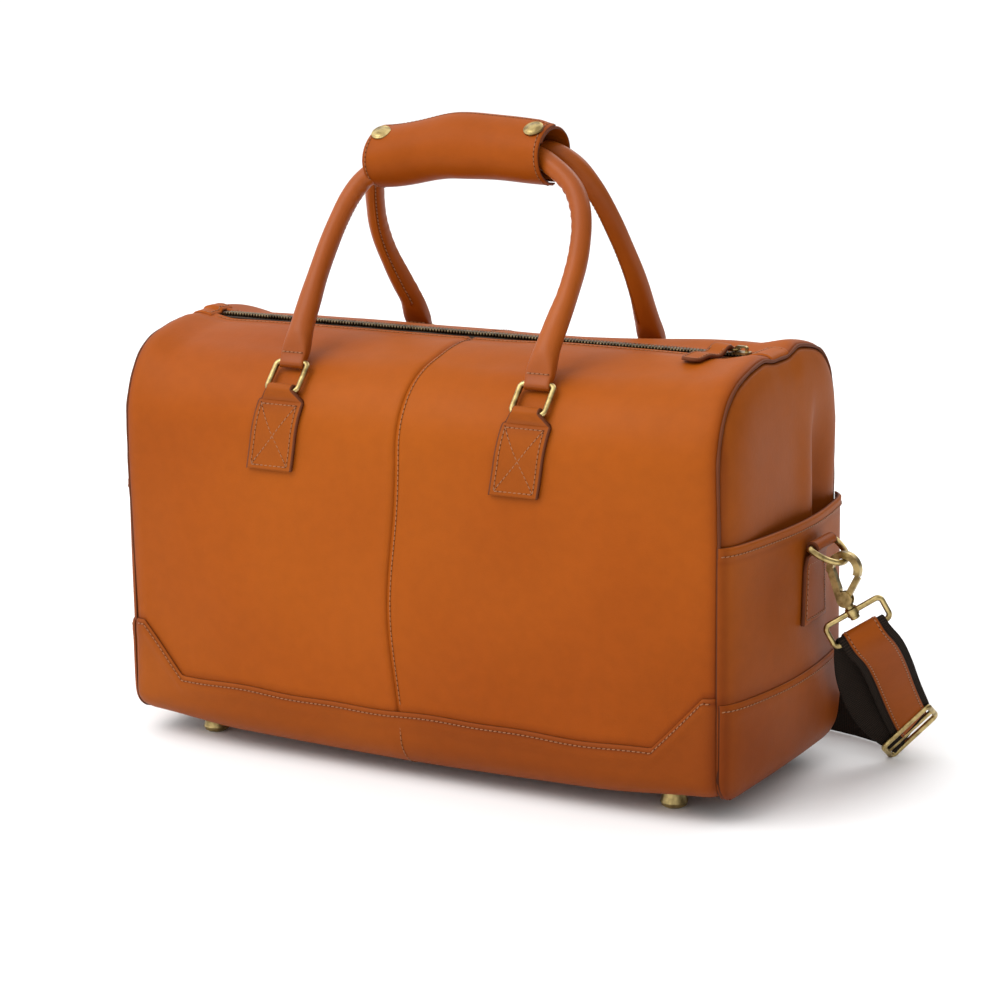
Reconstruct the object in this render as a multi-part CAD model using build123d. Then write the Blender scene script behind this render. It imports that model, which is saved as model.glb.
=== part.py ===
from build123d import *
import math
import os

os.makedirs("parts", exist_ok=True)

# A leather weekend duffel bag. Millimetres, +Z up. +X runs along the bag's length,
# -Y is the front. The origin is on the floor under the middle of the bag.

# ---- driving dimensions ------------------------------------------------------
HALF_LENGTH = 250.0      # middle of the bag to each end seam
HALF_DEPTH = 113.0       # middle plane to the outside of the front and back walls
LEATHER = 2.2            # thickness of the shell leather
LINING = 0.8             # thickness of the lining cloth
FOOT_HEIGHT = 15.0       # floor to the underside of the bottom panel
WALL_TOP = 252.7         # height where the straight walls turn into the shoulders
SHOULDER_R = 62.0        # radius of each shoulder
CROWN_R = 250.0          # radius of the shallow crown between the shoulders
CORNER_R = 20.0          # radius of the long bottom corners
MIN_CORNER_R = 4.0       # smallest bottom corner radius of an inset section
UNDER_HALF = 80.0        # half-width of the flat bottom panel

BAND_LOW = 55.0          # height of the base band along the front and back
BAND_HIGH = 95.0         # height of the base band at the ends of the bag
BAND_TURN_X = 202.0      # where the band's top edge starts to climb
BAND_FLAT_X = 240.0      # where it levels out again

ZIP_HALF_GAP = 6.0       # middle of the zip to each leather edge
ZIP_HALF_LENGTH = 230.0  # middle of the bag to each end of the zip's slot
TEETH_GAP = 0.6          # middle of the zip to the inner edge of each row of teeth
TEETH_WIDTH = 2.8
TAPE_LOW = 319.0         # underside of the zip tape
TAPE_TOP = 320.0
TEETH_TOP = 322.0
SLIDER_X = 220.0         # middle of the zip slider when the zip is closed
SLIDER_LENGTH = 14.0
PULL_LENGTH = 40.0
PULL_WIDTH = 16.0

PIPE_R = 2.0             # radius of the piping along each end seam
END_BULGE = 6.0          # how far an end panel stands out beyond its seam
POCKET_APEX_X = 272.4    # outermost point of an end pocket
POCKET_EDGE_X = 256.4    # where the pocket's side edges stand
POCKET_CHORD_X = 254.2   # back of the pocket's sewn edges
POCKET_HALF = 109.8      # half-width of an end pocket
POCKET_TOP = 205.0
END_BAND_TOP = 92.0

FOOT_X = 201.0
FOOT_Y = 70.0
FOOT_R = 10.5
RIVET_R = 2.0

HANDLE_X = 104.0         # middle of the bag to each handle ring
RING_WIRE_R = 2.2
RING_WIDTH = 27.0        # between the wire centres of the ring's two sides
RING_HEIGHT = 24.7       # between the wire centres of the ring's bars
RING_CORNER_R = 4.0
RING_LOW_Y = 109.0       # the ring's lower bar, from the middle plane
RING_LOW_Z = 288.0
RING_LEAN = math.radians(42.5)   # lean of the ring towards the middle, from upright
RUN_CLEAR = 0.15         # gap between a wire and the leather loop round it
LOOP_WIDTH = 18.5        # width of the leather loops round the ring's bars
LOOP_LEATHER = 2.2
PATCH_WIDTH = 38.0
PATCH_LOW = 223.0
PATCH_HIGH = 277.0
PATCH_THICK = 3.2

GRIP_Y = 10.0            # each grip's axis, from the middle plane
GRIP_Z = 460.0
TUBE_R = 7.5             # outside of a rolled leather handle
CORE_R = 5.6             # the rope core inside it
FLARE_START = 26.0       # where the tube begins, along the handle from its ring bar

WRAP_Z = 459.5
WRAP_X = -4.0            # middle of the handle wrap
WRAP_HALF = 73.0         # half of its length
WRAP_IN = (22.0, 19.0)   # half-axes of the space inside the wrap
WRAP_THICK = 2.0
WRAP_GAP = 0.4           # between the wrap's back half and its flap
SNAP_X = 64.0            # middle of the wrap to each snap
SNAP_R = 7.5
SNAP_TILT = math.radians(57)     # direction the snap caps face, up from the front

DRING_Y = 15.0           # middle of each end's D-ring
DRING_R = 21.0           # radius of the D, to the middle of the wire
DRING_WIRE_R = 2.3
DRING_BAR_X = 277.5
DRING_BAR_Z = 185.3
DRING_DROOP = math.radians(33)   # how far the D hangs below level
CHAPE_LOW_HALF = 22.0
CHAPE_TOP_HALF = 17.0
CHAPE_LOW_Z = 128.0
CHAPE_LOOP_HALF = 17.5

HOOK_X = 295.5           # middle of the snap hook's bow
HOOK_Z = 168.5
BOW_IN_R = 8.0
BOW_OUT_R = 13.0
HOOK_THICK = 5.5
BOSS_X = 1.0             # the gate's pivot, from the middle of the bow
BOSS_Z = -22.5
BOSS_R = 6.0
GATE_PIN_R = 1.3
STEM_R = 2.0
STEM_DIR = Vector(0.394, 0.274, -0.877).normalized()
EYE_ACROSS = Vector(0.72, 0.50, 0.48).normalized()
EYE_WIDTH = 46.0
EYE_HEIGHT = 18.0
EYE_WIRE_R = 2.1

STRAP_WIDTH = 38.0
FACING_WIDTH = 27.0
WEBBING_THICK = 2.2
FACING_THICK = 1.5
ARC_STEP_DEG = 16.0      # turn between the strap's cross-sections round a bend


# ---- helpers -----------------------------------------------------------------
def save(name, shape):
    export_step(shape, f"parts/{name}.step")


def block(x0, x1, y0, y1, z0, z1):
    centre = Pos((x0 + x1) / 2, (y0 + y1) / 2, (z0 + z1) / 2)
    return centre * Box(x1 - x0, y1 - y0, z1 - z0)


def rod(start, direction, length, radius):
    """A round bar from a point along a direction."""
    plane = Plane(origin=start, z_dir=direction)
    return extrude(plane * Circle(radius), amount=length)


def wire_loop(plane, width, height, corner, wire_r):
    """A round wire bent into a closed rectangle with round corners."""
    path = (plane * RectangleRounded(width, height, corner)).face().outer_wire()
    start = Plane(origin=path @ 0, z_dir=path % 0)
    return sweep(start * Circle(wire_r), path=path)


def front_of(shape):
    return mirror(shape, about=Plane.XZ)


def left_of(shape):
    return mirror(shape, about=Plane.YZ)


# ---- the bag's D-shaped section ------------------------------------------------
SHOULDER_Y = HALF_DEPTH - SHOULDER_R
BASE_Z = FOOT_HEIGHT + LEATHER
CROWN_LEAN = math.asin(SHOULDER_Y / (CROWN_R - SHOULDER_R))
CROWN_Z = WALL_TOP - (CROWN_R - SHOULDER_R) * math.cos(CROWN_LEAN)


def section_face(x, inset):
    """The bag's cross-section at x, drawn the given distance inside the shell's surface."""
    half = HALF_DEPTH - inset
    low = BASE_Z + inset
    corner = max(CORNER_R - inset, MIN_CORNER_R)
    shoulder = SHOULDER_R - inset
    crown = CROWN_R - inset
    join_y = crown * math.sin(CROWN_LEAN)
    join_z = CROWN_Z + crown * math.cos(CROWN_LEAN)
    middle = math.pi / 4 - CROWN_LEAN / 2
    shoulder_y = SHOULDER_Y + shoulder * math.cos(middle)
    shoulder_z = WALL_TOP + shoulder * math.sin(middle)
    bend = corner * (1 - math.sqrt(0.5))
    edges = [
        Line((x, corner - half, low), (x, half - corner, low)),
        ThreePointArc((x, half - corner, low), (x, half - bend, low + bend), (x, half, low + corner)),
        Line((x, half, low + corner), (x, half, WALL_TOP)),
        ThreePointArc((x, half, WALL_TOP), (x, shoulder_y, shoulder_z), (x, join_y, join_z)),
        ThreePointArc((x, join_y, join_z), (x, 0, CROWN_Z + crown), (x, -join_y, join_z)),
        ThreePointArc((x, -join_y, join_z), (x, -shoulder_y, shoulder_z), (x, -half, WALL_TOP)),
        Line((x, -half, WALL_TOP), (x, -half, low + corner)),
        ThreePointArc((x, -half, low + corner), (x, bend - half, low + bend), (x, corner - half, low)),
    ]
    return Face(Wire(edges))


def prism(x0, x1, inset):
    return extrude(section_face(x0, inset), amount=x1 - x0, dir=(1, 0, 0))


def shell(x0, x1, outer, inner):
    return prism(x0, x1, outer) - prism(x0, x1, inner)


def end_frustum(x0, inset0, x1, inset1):
    return loft([section_face(x0, inset0), section_face(x1, inset1)], ruled=True)


FAR = 400.0
under_flat = block(-FAR, FAR, -UNDER_HALF, UNDER_HALF, 0, 40)
foot_places = [(sx * FOOT_X, sy * FOOT_Y) for sx in (-1, 1) for sy in (-1, 1)]
rivet_top = BASE_Z + LEATHER + LINING + 1.4
foot_rivets = [rod((x, y, FOOT_HEIGHT), (0, 0, 1), rivet_top - FOOT_HEIGHT, RIVET_R) for x, y in foot_places]

# ---- front and back panels, joined by the centre seam ---------------------------
back_half = block(-FAR, FAR, ZIP_HALF_GAP, FAR, 0, FAR)
for side, x0, x1 in (("left", -HALF_LENGTH, 0.0), ("right", 0.0, HALF_LENGTH)):
    panel = (shell(x0, x1, 0, LEATHER) & back_half) - under_flat
    save(f"back_panel_{side}", panel)
    save(f"front_panel_{side}", front_of(panel))

# ---- base band, bottom panel and base board --------------------------------------
band_outline = [
    (-HALF_LENGTH, 0, 0),
    (HALF_LENGTH, 0, 0),
    (HALF_LENGTH, 0, BAND_HIGH),
    (BAND_FLAT_X, 0, BAND_HIGH),
    (BAND_TURN_X, 0, BAND_LOW),
    (-BAND_TURN_X, 0, BAND_LOW),
    (-BAND_FLAT_X, 0, BAND_HIGH),
    (-HALF_LENGTH, 0, BAND_HIGH),
]
band_area = extrude(Face(Wire.make_polygon(band_outline, close=True)), amount=FAR, dir=(0, 1, 0))
outer_skin = shell(-HALF_LENGTH, HALF_LENGTH, -LEATHER, 0)
base_band = (outer_skin & band_area) - under_flat
save("base_band_back", base_band)
save("base_band_front", front_of(base_band))
save("bottom_panel", (outer_skin & under_flat) - foot_rivets)
save("base_board", (shell(-HALF_LENGTH, HALF_LENGTH, 0, LEATHER) & under_flat) - foot_rivets)

# ---- feet ------------------------------------------------------------------------
foot_outline = Polyline(
    (0, 0), (FOOT_R - 3.5, 0), (FOOT_R - 1.2, 1.6), (FOOT_R - 0.4, 4.0),
    (FOOT_R - 2.4, FOOT_HEIGHT - 3.0), (FOOT_R, FOOT_HEIGHT - 2.0), (FOOT_R, FOOT_HEIGHT), (0, FOOT_HEIGHT),
    close=True,
)
foot = revolve(Plane.XZ * make_face(foot_outline), Axis.Z)
feet = [Pos(x, y, 0) * foot + rivet for (x, y), rivet in zip(foot_places, foot_rivets)]
save("feet", Compound(children=[f.solid() for f in feet]))
washer = Pos(0, 0, rivet_top - 0.6) * (Cylinder(7.0, 1.2) - Cylinder(RIVET_R, 1.2))
save("foot_washers", Compound(children=[(Pos(x, y, 0) * washer).solid() for x, y in foot_places]))

# ---- end panels, pockets, end bands, piping ---------------------------------------
SEAM_INSET = 3.1         # the end panel starts just inside the piping
CAP_INSET = 18.0         # its flat middle starts here
end_outside = end_frustum(HALF_LENGTH, SEAM_INSET, HALF_LENGTH + END_BULGE, CAP_INSET)
end_inside = end_frustum(
    HALF_LENGTH, SEAM_INSET + LEATHER, HALF_LENGTH + END_BULGE - LEATHER, CAP_INSET + LEATHER
)
end_panel = end_outside - end_inside

POCKET_SAG = POCKET_APEX_X - POCKET_EDGE_X
POCKET_R = (POCKET_HALF**2 + POCKET_SAG**2) / (2 * POCKET_SAG)


def pocket_column(grow, half, z0, z1):
    """An upright column bounded by the pocket's curved plan, made thicker by grow."""
    radius = POCKET_R + grow
    centre = POCKET_APEX_X - POCKET_R
    edge = centre + math.sqrt(radius**2 - half**2)
    outline = Wire([
        Line((POCKET_CHORD_X, -half, z0), (edge, -half, z0)),
        ThreePointArc((edge, -half, z0), (centre + radius, 0, z0), (edge, half, z0)),
        Line((edge, half, z0), (POCKET_CHORD_X, half, z0)),
        Line((POCKET_CHORD_X, half, z0), (POCKET_CHORD_X, -half, z0)),
    ])
    return extrude(Face(outline), amount=z1 - z0, dir=(0, 0, 1))


pocket_body = pocket_column(0, POCKET_HALF, BASE_Z, POCKET_TOP)
pocket_space = pocket_column(-LEATHER, POCKET_HALF - LEATHER, BASE_Z + LEATHER, FAR)
pocket = pocket_body - pocket_space - end_outside
end_band = pocket_column(LEATHER, POCKET_HALF, FOOT_HEIGHT, END_BAND_TOP) - pocket_column(
    0, POCKET_HALF, BASE_Z, FAR
)
seam_path = section_face(HALF_LENGTH + PIPE_R, 1.0).outer_wire()
piping = sweep(Plane(origin=seam_path @ 0, z_dir=seam_path % 0) * Circle(PIPE_R), path=seam_path)
for name, shape in (
    ("end_panel", end_panel),
    ("end_pocket", pocket),
    ("end_band", end_band),
    ("piping", piping),
):
    save(f"{name}_right", shape)
    save(f"{name}_left", left_of(shape))

# ---- lining ----------------------------------------------------------------------
lining_end = end_frustum(
    HALF_LENGTH - LINING,
    SEAM_INSET + LEATHER + LINING,
    HALF_LENGTH + END_BULGE - LEATHER - LINING,
    CAP_INSET + LEATHER + LINING,
)
lining_outside = prism(-HALF_LENGTH, HALF_LENGTH, LEATHER) + end_inside + left_of(end_inside)
lining_inside = prism(LINING - HALF_LENGTH, HALF_LENGTH - LINING, LEATHER + LINING) + lining_end
lining_inside = lining_inside + left_of(lining_end)
zip_slot = block(-ZIP_HALF_LENGTH, ZIP_HALF_LENGTH, -ZIP_HALF_GAP - 1, ZIP_HALF_GAP + 1, 300, 340)
save("lining", (lining_outside - lining_inside - zip_slot) - foot_rivets)

# ---- zip -------------------------------------------------------------------------
teeth_start = 4 - ZIP_HALF_LENGTH
teeth_end = ZIP_HALF_LENGTH - 2
tape = block(-ZIP_HALF_LENGTH, ZIP_HALF_LENGTH, TEETH_GAP, ZIP_HALF_GAP, TAPE_LOW, TAPE_TOP)
chain = block(teeth_start, teeth_end, TEETH_GAP, TEETH_GAP + TEETH_WIDTH, TAPE_TOP, TEETH_TOP)
for name, shape in (("zip_tape", tape), ("zip_chain", chain)):
    save(f"{name}_back", shape)
    save(f"{name}_front", front_of(shape))
stop_half = TEETH_GAP + TEETH_WIDTH
zip_stops = [
    block(teeth_start - 3, teeth_start, -stop_half, stop_half, TAPE_TOP, TEETH_TOP + 0.4),
    block(teeth_end, ZIP_HALF_LENGTH - 0.4, TEETH_GAP, stop_half, TAPE_TOP, TEETH_TOP + 0.2),
    block(teeth_end, ZIP_HALF_LENGTH - 0.4, -stop_half, -TEETH_GAP, TAPE_TOP, TEETH_TOP + 0.2),
]
save("zip_stops", Compound(children=[s.solid() for s in zip_stops]))

tab_plug = shell(ZIP_HALF_LENGTH, HALF_LENGTH, 0, LEATHER) & block(0, FAR, -ZIP_HALF_GAP, ZIP_HALF_GAP, 300, FAR)
tab_cover = shell(ZIP_HALF_LENGTH + 6, HALF_LENGTH, -1.4, 0) & block(0, FAR, -15, 15, 300, FAR)
zip_end_tab = tab_plug + tab_cover
save("zip_end_tab_right", zip_end_tab)
save("zip_end_tab_left", left_of(zip_end_tab))

slider_x0 = SLIDER_X - SLIDER_LENGTH / 2
slider_x1 = SLIDER_X + SLIDER_LENGTH / 2
top_plate = block(slider_x0, slider_x1, -4.6, 4.6, TEETH_TOP + 0.4, TEETH_TOP + 2.0)
top_plate = chamfer(top_plate.edges().filter_by(Axis.Z), 2.0)
low_plate = block(slider_x0, slider_x1, -4.6, 4.6, TAPE_LOW - 2.0, TAPE_LOW - 0.4)
low_plate = chamfer(low_plate.edges().filter_by(Axis.Z), 2.0)
bridge = block(SLIDER_X + 2, SLIDER_X + 6, -0.4, 0.4, TAPE_LOW - 1.0, TEETH_TOP + 1.0)
BAIL_Z = TEETH_TOP + 2.0
bail_outer = block(SLIDER_X - 5, SLIDER_X + 5, -1.6, 1.6, BAIL_Z, BAIL_Z + 4.4)
bail_outer = fillet(bail_outer.edges().filter_by(Axis.Y).group_by(Axis.Z)[-1], 2.5)
bail_space = block(SLIDER_X - 3.4, SLIDER_X + 3.4, -2, 2, BAIL_Z, BAIL_Z + 2.8)
save("zip_slider", top_plate + low_plate + bridge + (bail_outer - bail_space))

PULL_PIVOT_X = SLIDER_X - 2.0
PULL_PIVOT_Z = BAIL_Z + 1.5
ring_plane = Plane(origin=(PULL_PIVOT_X - 5.5, 0, PULL_PIVOT_Z), x_dir=(1, 0, 0), z_dir=(0, 0, 1))
save("zip_pull_ring", wire_loop(ring_plane, 11.0, 9.0, 3.0, 0.9))
pull_start = PULL_PIVOT_X - 7.0
pull_flat = Plane(origin=(pull_start - PULL_LENGTH / 2, 0, PULL_PIVOT_Z)) * Rectangle(PULL_LENGTH, PULL_WIDTH)
pull_tab = extrude(pull_flat, amount=1.5, both=True)
pull_tab = fillet(pull_tab.edges().filter_by(Axis.Z).group_by(Axis.X)[0], PULL_WIDTH / 2 - 0.5)
neck_cut = block(pull_start - 9, pull_start, 3.2, 20, 300, FAR)
ring_cut = block(pull_start - 5.6, pull_start - 1.6, -5.6, 5.6, PULL_PIVOT_Z - 1.0, PULL_PIVOT_Z + 1.0)
pull_tab = pull_tab - neck_cut - front_of(neck_cut) - ring_cut
save("zip_pull_tab", pull_tab)

# ---- handle chapes and rings -------------------------------------------------------
ring_up = Vector(0, -math.sin(RING_LEAN), math.cos(RING_LEAN))
ring_low = Vector(0, RING_LOW_Y, RING_LOW_Z)
ring_top = ring_low + ring_up * RING_HEIGHT
LOOP_IN_R = RING_WIRE_R + RUN_CLEAR
LOOP_OUT_R = LOOP_IN_R + LOOP_LEATHER


def loop_bar(centre, radius, width):
    """A round bar along X, centred on a point."""
    return rod(centre - Vector(width / 2, 0, 0), (1, 0, 0), width, radius)


patch_skin = shell(-PATCH_WIDTH / 2, PATCH_WIDTH / 2, -PATCH_THICK, 0)
patch = patch_skin & block(-FAR, FAR, 0, FAR, PATCH_LOW, PATCH_HIGH)
neck_skin = shell(-LOOP_WIDTH / 2, LOOP_WIDTH / 2, -PATCH_THICK, 0)
neck = neck_skin & block(-FAR, FAR, 0, FAR, PATCH_HIGH - 1, RING_LOW_Z)
loop_root = block(-LOOP_WIDTH / 2, LOOP_WIDTH / 2, RING_LOW_Y - 2, RING_LOW_Y + LOOP_OUT_R, PATCH_HIGH - 2, RING_LOW_Z)
loop_root = loop_root - prism(-FAR, FAR, 0)
handle_chape = patch + neck + loop_root + loop_bar(ring_low, LOOP_OUT_R, LOOP_WIDTH)
handle_chape = handle_chape - loop_bar(ring_low, LOOP_IN_R, 80)
ring_centre = ring_low + ring_up * (RING_HEIGHT / 2)
ring_frame = Plane(origin=ring_centre, x_dir=(1, 0, 0), z_dir=Vector(1, 0, 0).cross(ring_up))
handle_ring = wire_loop(ring_frame, RING_WIDTH, RING_HEIGHT, RING_CORNER_R, RING_WIRE_R)
for side, x in (("left", -HANDLE_X), ("right", HANDLE_X)):
    for name, shape in (("handle_chape", handle_chape), ("handle_ring", handle_ring)):
        placed = Pos(x, 0, 0) * shape
        save(f"{name}_back_{side}", placed)
        save(f"{name}_front_{side}", front_of(placed))

# ---- rolled handles ------------------------------------------------------------------
grip_top = Vector(0, GRIP_Y, GRIP_Z)
handle_up = (grip_top - ring_top).normalized()
HANDLE_RISE = (grip_top - ring_top).length
# Corners of each handle: distance from the bag's middle, distance up the handle's own
# leaning plane from the ring bar, and the radius that rounds the corner.
HANDLE_CORNERS = {
    "front": [(-100, 100, 300), (-94, HANDLE_RISE, 42), (101, HANDLE_RISE, 46), (113, 86, 80)],
    "back": [(-113, 100, 110), (-104, HANDLE_RISE, 46), (92, HANDLE_RISE, 42), (104, 100, 300)],
}


def on_handle(across, up):
    return ring_top + Vector(across, 0, 0) + handle_up * up


def flare(x, toward):
    """The flat, widened end of a handle, folded round its ring's upper bar."""
    start = ring_top + Vector(x, 0, 0)
    flat = Plane(origin=start + handle_up * 3.5, x_dir=(1, 0, 0), z_dir=handle_up)
    wide = Plane(origin=start + handle_up * 11, x_dir=(1, 0, 0), z_dir=handle_up)
    tube = Plane(origin=start + handle_up * FLARE_START, x_dir=(1, 0, 0), z_dir=toward)
    low = loft([flat * RectangleRounded(LOOP_WIDTH, 7.6, 3), wide * RectangleRounded(21.5, 9, 4)], ruled=True)
    high = loft([wide * RectangleRounded(21.5, 9, 4), tube * Circle(TUBE_R)])
    return low + high + loop_bar(start, LOOP_OUT_R, LOOP_WIDTH)


for side, corners in HANDLE_CORNERS.items():
    points = [on_handle(-HANDLE_X, FLARE_START)]
    points += [on_handle(across, up) for across, up, _ in corners]
    points += [on_handle(HANDLE_X, FLARE_START)]
    path = FilletPolyline(*points, radius=[r for _, _, r in corners]).wire()
    start = Plane(origin=path @ 0, z_dir=path % 0)
    tube = sweep(start * Circle(TUBE_R), path=path)
    core = sweep(start * Circle(CORE_R), path=path)
    left_end = flare(-HANDLE_X, path % 0)
    right_end = flare(HANDLE_X, (path % 1) * -1)
    bores = [loop_bar(ring_top + Vector(x, 0, 0), LOOP_IN_R, 60) for x in (-HANDLE_X, HANDLE_X)]
    handle = (tube - core) + left_end + right_end - bores
    print(side, "handle length", round(path.length))
    if side == "front":
        handle = front_of(handle)
        core = front_of(core)
    save(f"handle_{side}", handle)
    save(f"handle_core_{side}", core)

# ---- handle wrap -----------------------------------------------------------------------
wrap_end = Plane(origin=(WRAP_X - WRAP_HALF, 0, WRAP_Z), x_dir=(0, 1, 0), z_dir=(1, 0, 0))


def wrap_solid(grow):
    ellipse = wrap_end * Ellipse(WRAP_IN[0] + grow, WRAP_IN[1] + grow)
    return extrude(ellipse, amount=2 * WRAP_HALF)


wrap_back = wrap_solid(WRAP_THICK) - wrap_solid(0)
wrap_back = wrap_back - block(-FAR, FAR, -FAR, 0, 0, WRAP_Z) - block(-FAR, FAR, -FAR, -19, 0, FAR)
flap_grow = WRAP_THICK + WRAP_GAP
wrap_flap = wrap_solid(flap_grow + WRAP_THICK) - wrap_solid(flap_grow)
wrap_flap = wrap_flap - block(-FAR, FAR, 0.3, FAR, 0, WRAP_Z) - block(-FAR, FAR, 4, FAR, 0, FAR)

snap_out = Vector(0, -math.cos(SNAP_TILT), math.sin(SNAP_TILT))


def on_wrap(grow):
    """The point of the wrap's section whose normal is the snaps' direction."""
    a, b = WRAP_IN[0] + grow, WRAP_IN[1] + grow
    scale = math.hypot(a * snap_out.Y, b * snap_out.Z)
    return Vector(0, a * a * snap_out.Y / scale, WRAP_Z + b * b * snap_out.Z / scale)


cap_base = on_wrap(flap_grow + WRAP_THICK)
stud_base = on_wrap(WRAP_THICK)
caps, studs = [], []
for x in (WRAP_X - SNAP_X, WRAP_X + SNAP_X):
    dome = Plane(origin=cap_base + Vector(x, 0, 0) - snap_out * 0.6, z_dir=snap_out)
    cap = extrude(dome * Circle(SNAP_R), amount=2.4)
    caps.append(fillet(cap.edges().sort_by(Axis((0, 0, 0), tuple(snap_out)))[-1], 1.4).solid())
    stud = Plane(origin=stud_base + Vector(x, 0, 0) - snap_out * 2.6, z_dir=snap_out)
    studs.append(extrude(stud * Circle(3.5), amount=2.6).solid())
wrap_flap = wrap_flap - caps
wrap_back = wrap_back - studs
save("wrap_back", wrap_back)
save("wrap_flap", wrap_flap)
save("snap_caps", Compound(children=caps))
save("snap_studs", Compound(children=studs))

# ---- D-rings and their chapes --------------------------------------------------------------
bar_centre = Vector(DRING_BAR_X, DRING_Y, DRING_BAR_Z)
dring_out = Vector(math.cos(DRING_DROOP), 0, -math.sin(DRING_DROOP))
bar_left = bar_centre - Vector(0, DRING_R, 0)
bar_right = bar_centre + Vector(0, DRING_R, 0)
dring_tip = bar_centre + dring_out * DRING_R
bar_edge = Line(bar_left, bar_right)
bow_edge = ThreePointArc(bar_right, dring_tip, bar_left)
bar_rod = rod(bar_left, (0, 1, 0), 2 * DRING_R, DRING_WIRE_R)
bow_rod = sweep(Plane(origin=bar_right, z_dir=bow_edge % 0) * Circle(DRING_WIRE_R), path=Wire([bow_edge]))
corners = [Pos(p) * Sphere(DRING_WIRE_R) for p in (bar_left, bar_right)]
dring = bar_rod + bow_rod + corners

chape_outline = [
    (POCKET_CHORD_X, DRING_Y - CHAPE_LOW_HALF, CHAPE_LOW_Z),
    (POCKET_CHORD_X, DRING_Y + CHAPE_LOW_HALF, CHAPE_LOW_Z),
    (POCKET_CHORD_X, DRING_Y + CHAPE_TOP_HALF, DRING_BAR_Z),
    (POCKET_CHORD_X, DRING_Y - CHAPE_TOP_HALF, DRING_BAR_Z),
]
chape_area = extrude(Face(Wire.make_polygon(chape_outline, close=True)), amount=60, dir=(1, 0, 0))
chape_skin = pocket_column(PATCH_THICK, 80, 100, 200) - pocket_column(0, 85, 90, 210)
bar_in_r = DRING_WIRE_R + RUN_CLEAR
chape_loop = rod(
    bar_centre - Vector(0, CHAPE_LOOP_HALF, 0), (0, 1, 0), 2 * CHAPE_LOOP_HALF, bar_in_r + LOOP_LEATHER
)
chape_loop = chape_loop - pocket_column(0, 85, 90, 210)
dring_chape = (chape_skin & chape_area) + chape_loop - rod(bar_left, (0, 1, 0), 2 * DRING_R, bar_in_r)

# ---- snap hooks ------------------------------------------------------------------------------
hook_plane = Plane(origin=(HOOK_X, DRING_Y, HOOK_Z), x_dir=(1, 0, 0), z_dir=(0, -1, 0))
boss = Vector(HOOK_X + BOSS_X, DRING_Y, HOOK_Z + BOSS_Z)
bow_part = make_face(Polyline((-20, -3), (6, -3), (8, -3.2), (14, -5.6), (20, -5.6), (20, 30), (-20, 30), close=True))
bow = (Circle(BOW_OUT_R) - Circle(BOW_IN_R)) & bow_part
arm = make_face(Polyline((-13, 0), (-8, 0), (-2.2, -15), (-1.5, -26), (-4.6, -24.5), close=True))
hook_flat = bow + arm + Pos(BOSS_X, BOSS_Z) * Circle(BOSS_R)
hook = extrude(hook_plane * hook_flat, amount=HOOK_THICK / 2, both=True)
slot_flat = make_face(Polyline((-2, -17), (1, -27.5), (12, -27.5), (12, -10), (3, -12), close=True))
slot_flat = slot_flat + Pos(BOSS_X, BOSS_Z) * Circle(4.8)
hook = hook - extrude(hook_plane * slot_flat, amount=1.85, both=True)
pin_start = boss - Vector(0, HOOK_THICK / 2, 0)
gate_pin = rod(pin_start, (0, 1, 0), HOOK_THICK, GATE_PIN_R)
hook = hook - gate_pin
stem = rod(boss + STEM_DIR * (BOSS_R - 1.0), STEM_DIR, 11.0, STEM_R)
stem_head = rod(boss + STEM_DIR * (BOSS_R + 8.2), STEM_DIR, 2.0, 3.6)
stem_neck = rod(boss + STEM_DIR * (BOSS_R - 1.0), STEM_DIR, 2.4, 3.4)
hook_body = hook + stem + stem_head + stem_neck

gate_flat = make_face(Polyline((1.2, -18.6), (5.0, -21.2), (12.6, -5.9), (8.8, -3.8), close=True))
gate_flat = gate_flat + Pos(BOSS_X, BOSS_Z) * Circle(4.3)
hook_gate = extrude(hook_plane * gate_flat, amount=1.7, both=True)
hook_gate = hook_gate - rod(pin_start, (0, 1, 0), HOOK_THICK, GATE_PIN_R + 0.06)

collar_start = boss + STEM_DIR * (BOSS_R + 2.0)
COLLAR_LENGTH = 5.6
eye_top = collar_start + STEM_DIR * (COLLAR_LENGTH / 2)
eye_centre = eye_top + STEM_DIR * (EYE_HEIGHT / 2)
eye_frame = Plane(origin=eye_centre, x_dir=EYE_ACROSS, z_dir=EYE_ACROSS.cross(STEM_DIR))
eye = wire_loop(eye_frame, EYE_WIDTH, EYE_HEIGHT, 4.0, EYE_WIRE_R)
eye = eye + rod(collar_start, STEM_DIR, COLLAR_LENGTH, 4.6)
eye = eye - rod(collar_start - STEM_DIR * 2, STEM_DIR, COLLAR_LENGTH + 4, STEM_R + 0.1)
eye = eye - rod(collar_start + STEM_DIR * COLLAR_LENGTH, STEM_DIR, 3.0, 3.9)

for name, shape in (
    ("dring", dring),
    ("dring_chape", dring_chape),
    ("hook_body", hook_body),
    ("hook_gate", hook_gate),
    ("gate_pin", gate_pin),
    ("hook_eye", eye),
):
    save(f"{name}_right", shape)
    save(f"{name}_left", left_of(shape))

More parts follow.
